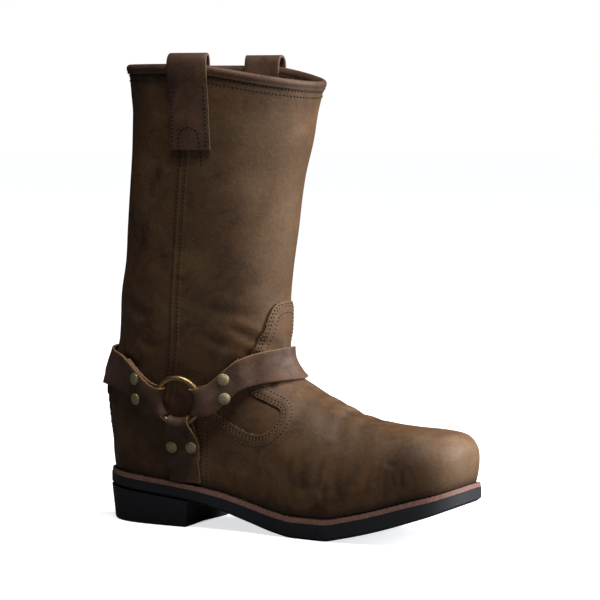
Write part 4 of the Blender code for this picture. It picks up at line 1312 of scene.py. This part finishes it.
def make_roll(finishes):
    """The rolled collar: a round lip over the wall's top, pressed flat below."""
    turns = np.arange(-180, 180, 1.0)
    top = shaft_rows(turns, [1.0])[0]
    below = shaft_rows(turns, [0.96])[0]
    way = outward(top)
    way[:, 2] = 0
    way = unit(way)
    climb = top - below
    flare = np.sum(climb * way, axis=1) / climb[:, 2]
    slot = 0.0005
    middle = -0.5 * WALL
    side = 0.5 * WALL + BINDING_SIDE
    profile = [(slot, -BINDING_DEPTH), (BINDING_SIDE * 0.8, -BINDING_DEPTH)]
    lip = np.radians(np.arange(-30, 211, 15))
    profile += [(middle + side * math.cos(t), ROLL_CENTRE + ROLL_RISE * math.sin(t)) for t in lip]
    profile += [(-WALL - 0.8 * BINDING_SIDE, -BINDING_DEPTH), (-WALL - slot, -BINDING_DEPTH)]
    profile += [(-WALL - slot, 0.0008), (slot, 0.0008)]
    sections = []
    for point, out, lean, turn in zip(top, way, flare, turns):
        waver = 1 + 0.05 * math.sin(math.radians(7 * turn)) + 0.03 * math.sin(math.radians(17 * turn + 40))
        section = [point + out * (n * waver + lean * z) + np.array([0, 0, z]) for n, z in profile]
        sections.append(np.array(section))
    hoop_solid("collar_binding", sections, (finishes["straps"],))


def make_welt_stitches(finishes):
    ring = resample(offset_ring(WELT_MARGIN * 0.50 * MARGIN_PART(EDGE[:, 0] / SOLE_LENGTH)), 0.001)
    path = np.column_stack([ring, welt_top(ring[:, 0])])
    normal = np.tile([0.0, 0.0, 1.0], (len(path), 1))
    stitched("welt_stitches", [(path, normal)], finishes["thread"], 0.0042, 0.0011)


def make_loop_stitches(finishes):
    """Rows along both edges of each pull loop, and the arched row at its foot."""
    centre = collar_x()
    face = STRAP_SEAT + SEAM_RAISE + LOOP_THICKNESS
    for side, label in SIDES:
        runs = []
        z = np.arange(SHAFT_HEIGHT - LOOP_LENGTH + 0.003, SHAFT_HEIGHT - 0.012, 0.001)
        for aside in (-1, 1):
            line = side_skin(np.full(len(z), centre + aside * (0.5 * LOOP_WIDTH - LOOP_ROW_INSET)), z, side)
            runs.append((line + outward(line) * face, outward(line)))
        turn = np.radians(np.arange(0, 181, 6))
        wide = LOOP_FOOT_RADIUS
        arch_x = np.concatenate([[wide, wide], wide * np.cos(turn), [-wide, -wide]])
        foot = SHAFT_HEIGHT - LOOP_LENGTH
        arch_z = foot + np.concatenate([[0.002, 0.006], 0.010 + wide * np.sin(turn), [0.006, 0.002]])
        line = side_skin(centre + arch_x, arch_z, side)
        runs.append((line + outward(line) * face, outward(line)))
        tail = np.arange(foot - 0.012, foot - 0.001, 0.001)
        for aside in (-wide, wide):
            line = side_skin(np.full(len(tail), centre + aside), tail, side)
            runs.append(dressed(line, seam_rise(line)))
        stitched(f"pull_loop_stitches_{label}", runs, finishes["thread"])


def make_rings_and_rivets(finishes, sets):
    for side, label in SIDES:
        origin, _, _, out = ring_frame(side, HARNESS_LIFT)
        around = np.radians(np.arange(0, 360, 4))
        tube = np.radians(np.arange(0, 360, 20))
        turned = Vector(out).to_track_quat("Z", "Y").to_matrix()
        points = []
        for a in around:
            for b in tube:
                reach = RING_RADIUS + WIRE_RADIUS * math.cos(b)
                points.append((reach * math.cos(a), reach * math.sin(a), WIRE_RADIUS * math.sin(b)))
        points = np.array(points) @ np.array(turned).T + origin + out * WIRE_LIFT
        faces = ring_faces(len(around), len(tube), hoop=True)
        node = f"ring_{label}"
        add_piece(f"{node}_brass", points, faces, (finishes["brass"],), (node,))
    radius = 0.5 * RIVET_DIAMETER
    turns = np.radians(np.arange(0, 360, 12))
    shape = []
    for part, height in RIVET_PROFILE:
        for turn in turns:
            across = part * radius * math.cos(turn)
            shape.append((across, part * radius * math.sin(turn), height * RIVET_DOME))
    size = len(turns)
    faces = ring_faces(len(RIVET_PROFILE), size)
    faces += [tuple(range(size)), tuple(range(len(shape) - size, len(shape)))]
    for name, places in sets.items():
        for number, (point, normal) in enumerate(places, start=1):
            turned = np.array(Vector(normal).to_track_quat("Z", "Y").to_matrix())
            node = f"rivet_{name}_{number}"
            points = np.array(shape) @ turned.T + point
            add_piece(f"{node}_head", points, faces, (finishes["rivet"],), (node,))


# Sole
def make_sole(finishes):
    stations = full_stations()
    share = EDGE[:, 0] / SOLE_LENGTH
    sole = offset_ring(WELT_MARGIN * MARGIN_PART(share))
    inner = offset_ring(-(WALL + 0.0016))
    rings = [
        loop_of(sole, stations, sole_top),
        loop_of(sole, stations, lambda x: underside(x) + SOLE_EDGE_ROUND),
        loop_of(sole, stations, underside, SOLE_EDGE_ROUND),
    ]
    stacked_solid("outsole", rings, finishes["rubber"])

    low = loop_of(sole, stations, welt_foot, 0.0003)
    high = loop_of(sole, stations, welt_top, 0.0006)
    inner_low = loop_of(inner, stations, welt_foot)
    inner_high = loop_of(inner, stations, welt_top)
    sections = [np.array(four) for four in zip(low, high, inner_high, inner_low)]
    hoop_solid("welt", sections, finishes["welt"])

    make_heel(sole, finishes["rubber"])


def make_heel(sole, finish):
    """Heel block under the seat, a little smaller at the floor, with a hollow breast."""
    breast = HEEL_LENGTH + HEEL_TAPER
    stations = 1 - np.cos(0.5 * np.pi * np.arange(1, 13) / 12)
    left, right = outline(sole, stations, stop=breast)
    back = sole[:, 0].min()
    flat = [(back, 0.0)] + [tuple(p) for p in left]
    flat += [(breast - BREAST_HOLLOW, 0.0)]
    flat += [tuple(p) for p in right[::-1]]
    flat = np.array(flat)
    middle = 0.5 * breast
    rings = []
    for taper, height in ((0.0, None), (HEEL_TAPER, 0.0015), (HEEL_TAPER + 0.0008, 0.0)):
        ring = np.zeros((len(flat), 3))
        ring[:, 0] = middle + (flat[:, 0] - middle) * (1 - taper / middle)
        ring[:, 1] = np.sign(flat[:, 1]) * np.maximum(np.abs(flat[:, 1]) - taper, 0)
        ring[:, 2] = underside(flat[:, 0]) - GAP if height is None else height
        rings.append(ring)
    stacked_solid("heel", rings, finish)


def collar_x():
    return float(shaft_centre(np.array([SHAFT_HEIGHT]))[0])


def make_pull_loop(name, side, finish):
    """A strap over the collar: down the outside, an arch over the edge, down the inside."""
    half = 0.5 * LOOP_THICKNESS
    clear_out = BINDING_SIDE + LOOP_PLAY + half
    clear_in = -WALL - BINDING_SIDE - LOOP_PLAY - half
    seam_clear = SEAM_RAISE + STRAP_SEAT + half
    arch = 0.5 * (clear_out - clear_in)
    mid = 0.5 * (clear_out + clear_in)
    top = SHAFT_HEIGHT + LOOP_TOP_RISE
    path = [(seam_clear, SHAFT_HEIGHT - LOOP_LENGTH)]
    path += [(seam_clear, SHAFT_HEIGHT - LOOP_LENGTH * part) for part in (0.75, 0.5, 0.25)]
    path += [(clear_out, SHAFT_HEIGHT - 1.3 * BINDING_DEPTH), (clear_out, top)]
    for turn in (30, 60, 90, 120, 150):
        angle = math.radians(turn)
        path.append((mid + arch * math.cos(angle), top + LOOP_ARCH * math.sin(angle)))
    inside = -WALL - STRAP_SEAT - half
    path += [(clear_in, top), (clear_in, SHAFT_HEIGHT - 1.3 * BINDING_DEPTH)]
    path += [(inside, SHAFT_HEIGHT - LOOP_INSIDE_LENGTH * part) for part in (0.4, 0.7, 1.0)]
    centre = collar_x()
    rows = []
    for away, height in path:
        lanes = np.linspace(-0.5, 0.5, STRAP_LANES) * LOOP_WIDTH
        on_wall = min(height, SHAFT_HEIGHT)
        start = np.column_stack([centre + lanes, np.zeros(STRAP_LANES), np.full(STRAP_LANES, on_wall)])
        wall = cast(form, start, np.tile([0.0, side, 0.0], (STRAP_LANES, 1)))
        normal = outward(wall)
        normal[:, 2] = 0
        normal /= np.linalg.norm(normal, axis=1)[:, None]
        row = wall + normal * away
        row[:, 2] = height
        rows.append(row)
    return sheet_solid(name, rows, LOOP_THICKNESS, finish)


# Harness
def wall_run(heights, start, stop, lift, play, count=181):
    """Points of a taut line round the foot between two plan angles about the ring.

    heights gives the line's height at a share of the way, and play its extra lift half way.
    """
    degrees = np.linspace(start, stop, count)
    share = np.linspace(0, 1, count)
    z = heights(share)
    origin = np.column_stack([np.full(count, SEAM_X), np.zeros(count), z])
    points = cast(form, origin, plan_direction(degrees))
    normal = outward(points)
    level_part = np.maximum(np.linalg.norm(normal[:, :2], axis=1), 0.5)
    clear = lift + play * np.sin(np.pi * share)
    points[:, :2] += normal[:, :2] * (clear / level_part**2)[:, None]
    taut = hull_line(points[:, :2])
    points[:, :2] = taut
    return points


def hull_line(flat):
    """Lifts the hollow stretches of a line round the ring's axis to the chords over them."""
    centre = np.array([SEAM_X, 0.0])
    keep = []
    for place in range(len(flat)):
        while len(keep) > 1:
            first, middle, last = flat[keep[-2]], flat[keep[-1]], flat[place]
            chord = last - first
            to_middle = chord[0] * (middle - first)[1] - chord[1] * (middle - first)[0]
            to_centre = chord[0] * (centre - first)[1] - chord[1] * (centre - first)[0]
            if to_middle * to_centre < 0:
                break
            keep.pop()
        keep.append(place)
    taut = flat.copy()
    for first, second in zip(keep[:-1], keep[1:]):
        part = np.linspace(0, 1, second - first + 1)[:, None]
        taut[first : second + 1] = flat[first] * (1 - part) + flat[second] * part
    return taut


def ring_frame(side, lift):
    """Seat of a ring: point on the wall and its forward, up and outward directions."""
    start = np.array([[SEAM_X, 0.0, RING_HEIGHT]])
    point = cast(form, start, np.array([[0.0, side, 0.0]]))
    normal = outward(point)[0]
    point = point[0] + lift * normal
    forward = np.array([1.0, 0.0, 0.0])
    forward = forward - normal * (forward @ normal)
    forward /= np.linalg.norm(forward)
    up = np.cross(normal, forward) * -side
    return point, forward, up, normal


HARNESS_LIFT = VAMP_THICKNESS + GAP + STRAP_SEAT
WIRE_RADIUS = 0.5 * RING_WIRE
RING_RADIUS = 0.5 * RING_DIAMETER - WIRE_RADIUS
WIRE_LIFT = STRAP_THICKNESS + RING_PLAY + WIRE_RADIUS


def fold_profile():
    """Long section of a strap end: distance from the ring's middle and height over the wall.

    It runs from the end of the inner leaf round the wire and out along the outer leaf.
    """
    half = 0.5 * STRAP_THICKNESS
    around = WIRE_RADIUS + RING_PLAY + half
    upper_leaf = STRAP_THICKNESS + GAP + half
    profile = [(LEAF_LENGTH, half), (RIVET_REACH, half), (0.5 * (RIVET_REACH + RING_RADIUS), half)]
    for turn in (-90, -135, -180, -225, -270):
        angle = math.radians(turn)
        profile.append((RING_RADIUS + around * math.cos(angle), WIRE_LIFT + around * math.sin(angle)))
    profile += [
        (RING_RADIUS + 0.35 * (RIVET_REACH - RING_RADIUS), 0.62 * (WIRE_LIFT + around) + 0.38 * upper_leaf),
        (RIVET_REACH - 0.006, upper_leaf + 0.0004),
        (RIVET_REACH, upper_leaf),
        (RIVET_REACH + 0.0055, upper_leaf),
        (LEAF_LENGTH + 0.001, upper_leaf),
        (LEAF_LENGTH + 0.010, half),
    ]
    return profile


def lane_reach(along, lane):
    """Moves a strap end's points back so that its fold follows the ring's curve."""
    curve = math.sqrt(RING_RADIUS**2 - lane**2) - RING_RADIUS
    fade = float(np.clip((LEAF_LENGTH - along) / (LEAF_LENGTH - RING_RADIUS), 0, 1))
    return along + curve * fade * fade * (3 - 2 * fade)


def lane_offsets(along, end_width=STRAP_END_WIDTH):
    """Places across the strap, narrower at the ring."""
    grown = float(np.clip((along - RING_RADIUS) / (RIVET_REACH - RING_RADIUS), 0, 1))
    width = end_width + (STRAP_WIDTH - end_width) * grown
    return np.linspace(-0.5, 0.5, STRAP_LANES) * width


def near_ring(along):
    """One where a strap lies in the ring's plane, zero where it follows the leather."""
    start = RING_RADIUS + WIRE_RADIUS + RING_PLAY + STRAP_THICKNESS
    t = float(np.clip((along - start) / (LEAF_LENGTH - start), 0, 1))
    return 1 - t * t * (3 - 2 * t)


def band_place(lines, seat, sense, along, lane, height):
    """A point of a band that runs round the foot from a ring."""
    reach = lane_reach(along, lane)
    spot = (lane / STRAP_WIDTH + 0.5) * (STRAP_LANES - 1)
    low = int(min(max(math.floor(spot), 0), STRAP_LANES - 2))
    part = spot - low
    line = lines[low] * (1 - part) + lines[low + 1] * part
    run = run_along(line[:, :2])
    point = np.array([np.interp(reach, run, line[:, axis]) for axis in range(3)])
    normal = outward(point[None])[0]
    leather = point + normal * height
    origin, forward, up, out = seat
    plane = origin + forward * sense * reach + up * lane + out * height
    mix = near_ring(along)
    return plane * mix + leather * (1 - mix)


def side_place(seat, along, lane, height, side):
    """A point of a strap that runs down from a ring to the welt."""
    reach = lane_reach(along, lane)
    origin, forward, up, out = seat
    plane = origin + forward * lane - up * reach + out * height
    start = np.array([[SEAM_X + lane, 0.0, RING_HEIGHT - reach]])
    wall = cast(form, start, np.array([[0.0, side, 0.0]]))
    normal = outward(wall)[0]
    leather = wall[0] + normal * (HARNESS_LIFT + height)
    mix = near_ring(along)
    return plane * mix + leather * (1 - mix)


def band_lines(front_height, around_front):
    """Lanes of a band from the medial to the lateral ring, round the front or the back."""
    start, stop = (90, -90) if around_front else (90, 270)
    lean = 0.89 if around_front else 1.0
    play = BEND_PLAY if around_front else 0.0
    lines = []
    for lane in np.linspace(-0.5, 0.5, STRAP_LANES) * STRAP_WIDTH:

        def heights(share, lane=lane):
            rise = np.sin(np.pi * share) ** 1.2
            middle = RING_HEIGHT + (front_height - RING_HEIGHT) * rise
            return middle + lane * (1 - (1 - lean) * rise)

        lines.append(wall_run(heights, start, stop, HARNESS_LIFT, play))
    return lines


def make_band(name, front_height, around_front, finish):
    """Instep or heel strap with both folded ends; returns its two rivet places a side."""
    lines = band_lines(front_height, around_front)
    sense = 1 if around_front else -1
    middle = 0.5 * (lines[(STRAP_LANES - 1) // 2] + lines[STRAP_LANES // 2])
    total = float(np.sum(np.linalg.norm(np.diff(middle[:, :2], axis=0), axis=1)))
    back_lines = [line[::-1] for line in lines]
    profile = fold_profile()
    rows = []
    for own_lines, side, reverse in ((lines, -1, False), (back_lines, 1, True)):
        seat = ring_frame(side, HARNESS_LIFT)
        end_rows = []
        for along, height in profile:
            lanes = lane_offsets(along)
            row = [band_place(own_lines, seat, sense, along, lane, height) for lane in lanes]
            end_rows.append(np.array(row))
        rows.append(end_rows[::-1] if reverse else end_rows)
    seat = ring_frame(-1, HARNESS_LIFT)
    half = 0.5 * STRAP_THICKNESS
    free = np.linspace(profile[-1][0], total - profile[-1][0], 15)[1:-1]
    between = []
    for along in free:
        lanes = lane_offsets(along)
        between.append(np.array([band_place(lines, seat, sense, along, lane, half) for lane in lanes]))
    sheet_solid(name, rows[0] + between + rows[1], STRAP_THICKNESS, finish)
    places = []
    for own_lines, side in ((lines, -1), (back_lines, 1)):
        own_seat = ring_frame(side, HARNESS_LIFT)

        def place(along, lane, height, lines=own_lines, seat=own_seat):
            return band_place(lines, seat, sense, along, lane, height)

        places.append(rivet_places(place))
    return places


def make_side_strap(name, side, finish):
    """Strap from a ring down to the welt, its end standing on the welt."""
    seat = ring_frame(side, HARNESS_LIFT)
    profile = fold_profile()
    floor = float(feather(np.array([SEAM_X]))[0]) + GAP
    last = RING_HEIGHT - floor - 0.0012
    profile = [(min(along, last), height) for along, height in profile if along < last]
    profile.append((last, profile[-1][1]))
    rows = []
    for along, height in profile:
        lanes = lane_offsets(along, SIDE_STRAP_END_WIDTH)
        row = np.array([side_place(seat, along, lane, height, side) for lane in lanes])
        rows.append(row)
    for row in (rows[0], rows[-1]):
        lowest = feather(row[:, 0]) + GAP
        row[:, 2] = np.maximum(row[:, 2], lowest)
    sheet_solid(name, rows, STRAP_THICKNESS, finish)
    return rivet_places(lambda along, lane, height: side_place(seat, along, lane, height, side))


def rivet_places(place):
    """Position and outward normal of the two rivets of a strap end, clear of a hollow strap."""
    top = 2 * STRAP_THICKNESS + GAP
    reach = 0.55 * RIVET_DIAMETER
    turns = np.radians(np.arange(0, 360, 45))
    found = []
    for lane in (-0.5 * RIVET_SPACING, 0.5 * RIVET_SPACING):
        point = place(RIVET_REACH, lane, top)
        rim = [place(RIVET_REACH + reach * np.cos(turn), lane + reach * np.sin(turn), top) for turn in turns]
        normal = np.cross(rim[0] - rim[4], rim[2] - rim[6])
        normal /= np.linalg.norm(normal)
        if normal[1] * point[1] < 0:
            normal = -normal
        hollow = max(float((spot - point) @ normal) for spot in rim)
        found.append((point + normal * (max(hollow, 0.0) + RIVET_SEAT), normal))
    return found


# Finishes
def node_group(name, inputs, outputs):
    tree = bpy.data.node_groups.new(name, "ShaderNodeTree")
    for label, kind, value in inputs:
        socket = tree.interface.new_socket(name=label, in_out="INPUT", socket_type=kind)
        if value is not None:
            socket.default_value = value
    for label, kind in outputs:
        tree.interface.new_socket(name=label, in_out="OUTPUT", socket_type=kind)
    return tree, tree.nodes.new("NodeGroupInput"), tree.nodes.new("NodeGroupOutput")


def noise(tree, place, scale, detail, roughness, distortion=0.0):
    made = tree.nodes.new("ShaderNodeTexNoise")
    made.inputs["Scale"].default_value = scale
    made.inputs["Detail"].default_value = detail
    made.inputs["Roughness"].default_value = roughness
    made.inputs["Distortion"].default_value = distortion
    tree.links.new(place, made.inputs["Vector"])
    return made.outputs["Fac"]


def remap(tree, value, low, high, start=0.0, stop=1.0):
    made = tree.nodes.new("ShaderNodeMapRange")
    for label, number in (("From Min", low), ("From Max", high), ("To Min", start), ("To Max", stop)):
        made.inputs[label].default_value = number
    tree.links.new(value, made.inputs["Value"])
    return made.outputs["Result"]


def calculate(tree, operation, first, second):
    made = tree.nodes.new("ShaderNodeMath")
    made.operation = operation
    for socket, value in zip(made.inputs, (first, second)):
        if isinstance(value, (int, float)):
            socket.default_value = value
        else:
            tree.links.new(value, socket)
    return made.outputs["Value"]


def mixed(tree, share, first, second):
    made = tree.nodes.new("ShaderNodeMix")
    made.data_type = "RGBA"
    for label, value in (("Factor", share), ("A", first), ("B", second)):
        socket = made.inputs[label]
        if isinstance(value, tuple):
            socket.default_value = (*value, 1.0)
        elif isinstance(value, float):
            socket.default_value = value
        else:
            tree.links.new(value, socket)
    return made.outputs["Result"]


def mottle_group():
    """Cloudy patches of oiled leather: dark, warm and dusty areas over the base colour, with rubbed wear,
    and painted shade and toe scuffs darkening it.
    """
    inputs = (
        ("Place", "NodeSocketVector", None),
        ("Base", "NodeSocketColor", (0.10, 0.06, 0.04, 1)),
        ("Dark", "NodeSocketColor", (0.03, 0.02, 0.015, 1)),
        ("Warm", "NodeSocketColor", (0.16, 0.08, 0.04, 1)),
        ("Dusty", "NodeSocketColor", (0.2, 0.15, 0.1, 1)),
        ("Worn", "NodeSocketFloat", 0.0),
        ("Painted Shade Scuffs", "NodeSocketFloat", 0.0),
    )
    outputs = (("Color", "NodeSocketColor"), ("Roughness", "NodeSocketFloat"))
    tree, given, result = node_group("oiled_mottle", inputs, outputs)
    place = given.outputs["Place"]
    cloud = noise(tree, place, 17, 5, 0.6, 0.4)
    patch = noise(tree, place, 42, 6, 0.62, 0.8)
    fleck = noise(tree, place, 320, 4, 0.7)
    warm = remap(tree, cloud, 0.46, 0.66, 0.0, 0.75)
    dark = remap(tree, patch, 0.47, 0.68, 0.0, 0.74)
    dusty = remap(tree, noise(tree, place, 30, 5, 0.6, 0.5), 0.50, 0.72, 0.0, 0.48)
    colour = mixed(tree, warm, given.outputs["Base"], given.outputs["Warm"])
    colour = mixed(tree, dark, colour, given.outputs["Dark"])
    colour = mixed(tree, dusty, colour, given.outputs["Dusty"])
    broken = calculate(tree, "MULTIPLY", given.outputs["Worn"], remap(tree, patch, 0.36, 0.62, 0.45, 1.0))
    colour = mixed(tree, broken, colour, given.outputs["Dusty"])
    # painted shade and the toe's scuffs darken the colour toward Dark, broken by flecks
    shade_share = calculate(tree, "MULTIPLY", given.outputs["Painted Shade Scuffs"], remap(tree, fleck, 0.30, 0.62, 0.72, 1.0))
    colour = mixed(tree, shade_share, colour, given.outputs["Dark"])
    speckle = remap(tree, fleck, 0.35, 0.70, 0.0, 0.30)
    colour = mixed(tree, speckle, colour, given.outputs["Dark"])
    tree.links.new(colour, result.inputs["Color"])
    tree.links.new(remap(tree, patch, 0.3, 0.7, 0.50, 0.68), result.inputs["Roughness"])
    return tree


def grain_group():
    """Pores and small wrinkles of the hide, as a height."""
    inputs = (
        ("Place", "NodeSocketVector", None),
        ("Pores", "NodeSocketFloat", 1.0),
        ("Wrinkles", "NodeSocketFloat", 1.0),
    )
    tree, given, result = node_group("hide_grain", inputs, (("Height", "NodeSocketFloat"),))
    place = given.outputs["Place"]
    cells = tree.nodes.new("ShaderNodeTexVoronoi")
    cells.inputs["Scale"].default_value = 1150
    tree.links.new(place, cells.inputs["Vector"])
    pit = remap(tree, cells.outputs["Distance"], 0.0, 0.55, 0.0, 0.10)
    pores = calculate(tree, "MULTIPLY", pit, given.outputs["Pores"])
    fold = remap(tree, noise(tree, place, 120, 6, 0.65, 1.6), 0.35, 0.65)
    wrinkle = calculate(tree, "MULTIPLY", fold, given.outputs["Wrinkles"])
    total = calculate(tree, "ADD", pores, calculate(tree, "MULTIPLY", wrinkle, 0.30))
    tree.links.new(total, result.inputs["Height"])
    return tree


def finish_of(name, roughness, metallic=0.0):
    made = bpy.data.materials.new(name)
    made.use_nodes = True
    tree = made.node_tree
    shader = tree.nodes["Principled BSDF"]
    shader.inputs["Roughness"].default_value = roughness
    shader.inputs["Metallic"].default_value = metallic
    place = tree.nodes.new("ShaderNodeTexCoord").outputs["Object"]
    return made, tree, shader, place


def bumped(tree, shader, height, strength, distance=0.001):
    bump = tree.nodes.new("ShaderNodeBump")
    bump.inputs["Strength"].default_value = strength
    bump.inputs["Distance"].default_value = distance
    tree.links.new(height, bump.inputs["Height"])
    tree.links.new(bump.outputs["Normal"], shader.inputs["Normal"])


def leather_finish(name, groups, base, dark, warm, dusty, wrinkles):
    made, tree, shader, place = finish_of(name, 0.6)
    mottle = tree.nodes.new("ShaderNodeGroup")
    mottle.node_tree = groups["mottle"]
    for label, colour in (("Base", base), ("Dark", dark), ("Warm", warm), ("Dusty", dusty)):
        mottle.inputs[label].default_value = (*colour, 1.0)
    grain = tree.nodes.new("ShaderNodeGroup")
    grain.node_tree = groups["grain"]
    grain.inputs["Wrinkles"].default_value = wrinkles
    tree.links.new(place, mottle.inputs["Place"])
    tree.links.new(place, grain.inputs["Place"])
    # the second mark carries painted shade and toe scuffs
    for label, socket in (("worn", "Worn"), ("painted_shade_scuffs", "Painted Shade Scuffs")):
        mark = tree.nodes.new("ShaderNodeAttribute")
        mark.attribute_name = label
        tree.links.new(mark.outputs["Fac"], mottle.inputs[socket])
    tree.links.new(mottle.outputs["Color"], shader.inputs["Base Color"])
    tree.links.new(mottle.outputs["Roughness"], shader.inputs["Roughness"])
    shader.inputs["Specular IOR Level"].default_value = 0.26
    bumped(tree, shader, grain.outputs["Height"], 0.34)
    return made


def plain_finish(name, first, second, roughness, scale, bump, metallic):
    """A finish of two colours in fine noise, with a bump from the same noise."""
    made, tree, shader, place = finish_of(name, roughness, metallic)
    grain = noise(tree, place, scale, 6, 0.65)
    tree.links.new(mixed(tree, remap(tree, grain, 0.36, 0.64), first, second), shader.inputs["Base Color"])
    rough = remap(tree, grain, 0.3, 0.7, roughness - 0.08, roughness + 0.10)
    tree.links.new(rough, shader.inputs["Roughness"])
    bumped(tree, shader, grain, bump, 0.0006)
    return made


def make_finishes():
    groups = {"mottle": mottle_group(), "grain": grain_group()}
    made = {}
    for key, name, base, dark, warm, dusty, wrinkles in LEATHERS:
        made[key] = leather_finish(name, groups, base, dark, warm, dusty, wrinkles)
    for key, name, first, second, roughness, scale, bump, metallic in PLAIN_FINISHES:
        made[key] = plain_finish(name, first, second, roughness, scale, bump, metallic)
    return made


# Stage
def add_light(name, place, size, power):
    data = bpy.data.lights.new(name, "AREA")
    data.shape = "RECTANGLE"
    data.size, data.size_y = size
    data.energy = power
    lamp = bpy.data.objects.new(name, data)
    lamp.location = place
    lamp.rotation_euler = (Vector(LIGHT_AIM) - Vector(place)).to_track_quat("-Z", "Y").to_euler()
    bpy.context.scene.collection.objects.link(lamp)


def split_by_camera(tree, unseen, seen, output):
    """Shows one shader to the camera and lets the other light the scene."""
    ray = tree.nodes.new("ShaderNodeLightPath")
    pick = tree.nodes.new("ShaderNodeMixShader")
    tree.links.new(ray.outputs["Is Camera Ray"], pick.inputs["Fac"])
    tree.links.new(unseen, pick.inputs[1])
    tree.links.new(seen, pick.inputs[2])
    tree.links.new(pick.outputs["Shader"], tree.nodes[output].inputs["Surface"])


def make_floor():
    corners = [(x * FLOOR_HALF, y * FLOOR_HALF, 0) for x, y in ((-1, -1), (1, -1), (1, 1), (-1, 1))]
    mesh = bpy.data.meshes.new("studio_floor")
    mesh.from_pydata(corners, [], [(0, 1, 2, 3)])
    floor = bpy.data.objects.new("studio_floor", mesh)
    bpy.context.scene.collection.objects.link(floor)
    paper = bpy.data.materials.new("studio_floor")
    paper.use_nodes = True
    tree = paper.node_tree
    shader = tree.nodes["Principled BSDF"]
    shader.inputs["Base Color"].default_value = (0.80, 0.82, 0.85, 1.0)
    shader.inputs["Roughness"].default_value = 0.9
    shader.inputs["Specular IOR Level"].default_value = 0.0
    shader.inputs["Emission Color"].default_value = (0.97, 0.98, 1.0, 1.0)
    place = tree.nodes.new("ShaderNodeTexCoord").outputs["Object"]
    away = tree.nodes.new("ShaderNodeVectorMath")
    away.operation = "LENGTH"
    tree.links.new(place, away.inputs[0])
    glow = remap(tree, away.outputs["Value"], 0.3, 1.6, FLOOR_GLOW, 1.0)
    tree.links.new(glow, shader.inputs["Emission Strength"])
    dull = tree.nodes.new("ShaderNodeBsdfDiffuse")
    dull.inputs["Color"].default_value = (FLOOR_BOUNCE, FLOOR_BOUNCE, FLOOR_BOUNCE, 1.0)
    split_by_camera(tree, dull.outputs["BSDF"], shader.outputs["BSDF"], "Material Output")
    mesh.materials.append(paper)


def make_world():
    world = bpy.data.worlds.new("studio")
    bpy.context.scene.world = world
    world.use_nodes = True
    tree = world.node_tree
    dim = tree.nodes["Background"]
    dim.inputs["Color"].default_value = (1.0, 1.0, 1.0, 1.0)
    dim.inputs["Strength"].default_value = ROOM_LIGHT
    bright = tree.nodes.new("ShaderNodeBackground")
    bright.inputs["Color"].default_value = (1.0, 1.0, 1.0, 1.0)
    bright.inputs["Strength"].default_value = 1.0
    split_by_camera(tree, dim.outputs["Background"], bright.outputs["Background"], "World Output")


def make_stage():
    make_floor()
    make_world()
    for name, place, size, power in LIGHTS:
        add_light(name, place, size, power)


def make_camera():
    data = bpy.data.cameras.new("photo_camera")
    data.lens = CAMERA_LENS
    data.sensor_width = 36.0
    item = bpy.data.objects.new("photo_camera", data)
    item.location = CAMERA_PLACE
    down = math.radians(CAMERA_PITCH)
    turn = math.radians(CAMERA_AZIMUTH)
    ahead = Vector((-math.sin(turn) * math.cos(down), math.cos(turn) * math.cos(down), -math.sin(down)))
    item.rotation_euler = ahead.to_track_quat("-Z", "Y").to_euler()
    bpy.context.scene.collection.objects.link(item)
    bpy.context.scene.camera = item
    bpy.context.scene.view_settings.view_transform = "Standard"


def main():
    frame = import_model()
    make_camera()
    make_stage()
    finishes = make_finishes()
    straps = (finishes["straps"], finishes["strap_edge"])
    make_upper(finishes)
    edge = vamp_edge()
    make_vamp(finishes, edge)
    make_vamp_stitches(finishes, edge)
    make_seam_stitches(finishes)
    make_collar_stitches(finishes)
    make_roll(finishes)
    make_loop_stitches(finishes)
    make_sole({"rubber": (finishes["rubber"],), "welt": (finishes["welt_edge"], finishes["welt_top"])})
    make_welt_stitches(finishes)
    rivets = {}
    for side, label in SIDES:
        loop = (finishes["straps"], finishes["loop_edge"])
        make_pull_loop(f"pull_loop_{label}", side, loop)
        rivets[f"side_{label}"] = make_side_strap(f"side_strap_{label}", side, straps)
    instep = make_band("instep_strap", INSTEP_STRAP_HEIGHT, True, straps)
    heel = make_band("heel_strap", HEEL_STRAP_HEIGHT, False, straps)
    for label, front, back in zip(("medial", "lateral"), instep, heel):
        rivets[f"instep_{label}"] = front
        rivets[f"heel_{label}"] = back
    make_rings_and_rivets(finishes, rivets)
    insole = frame["nodes"]["insole"]
    insole.data.materials.clear()
    insole.data.materials.append(finishes["insole"])
    bpy.context.view_layer.update()


main()
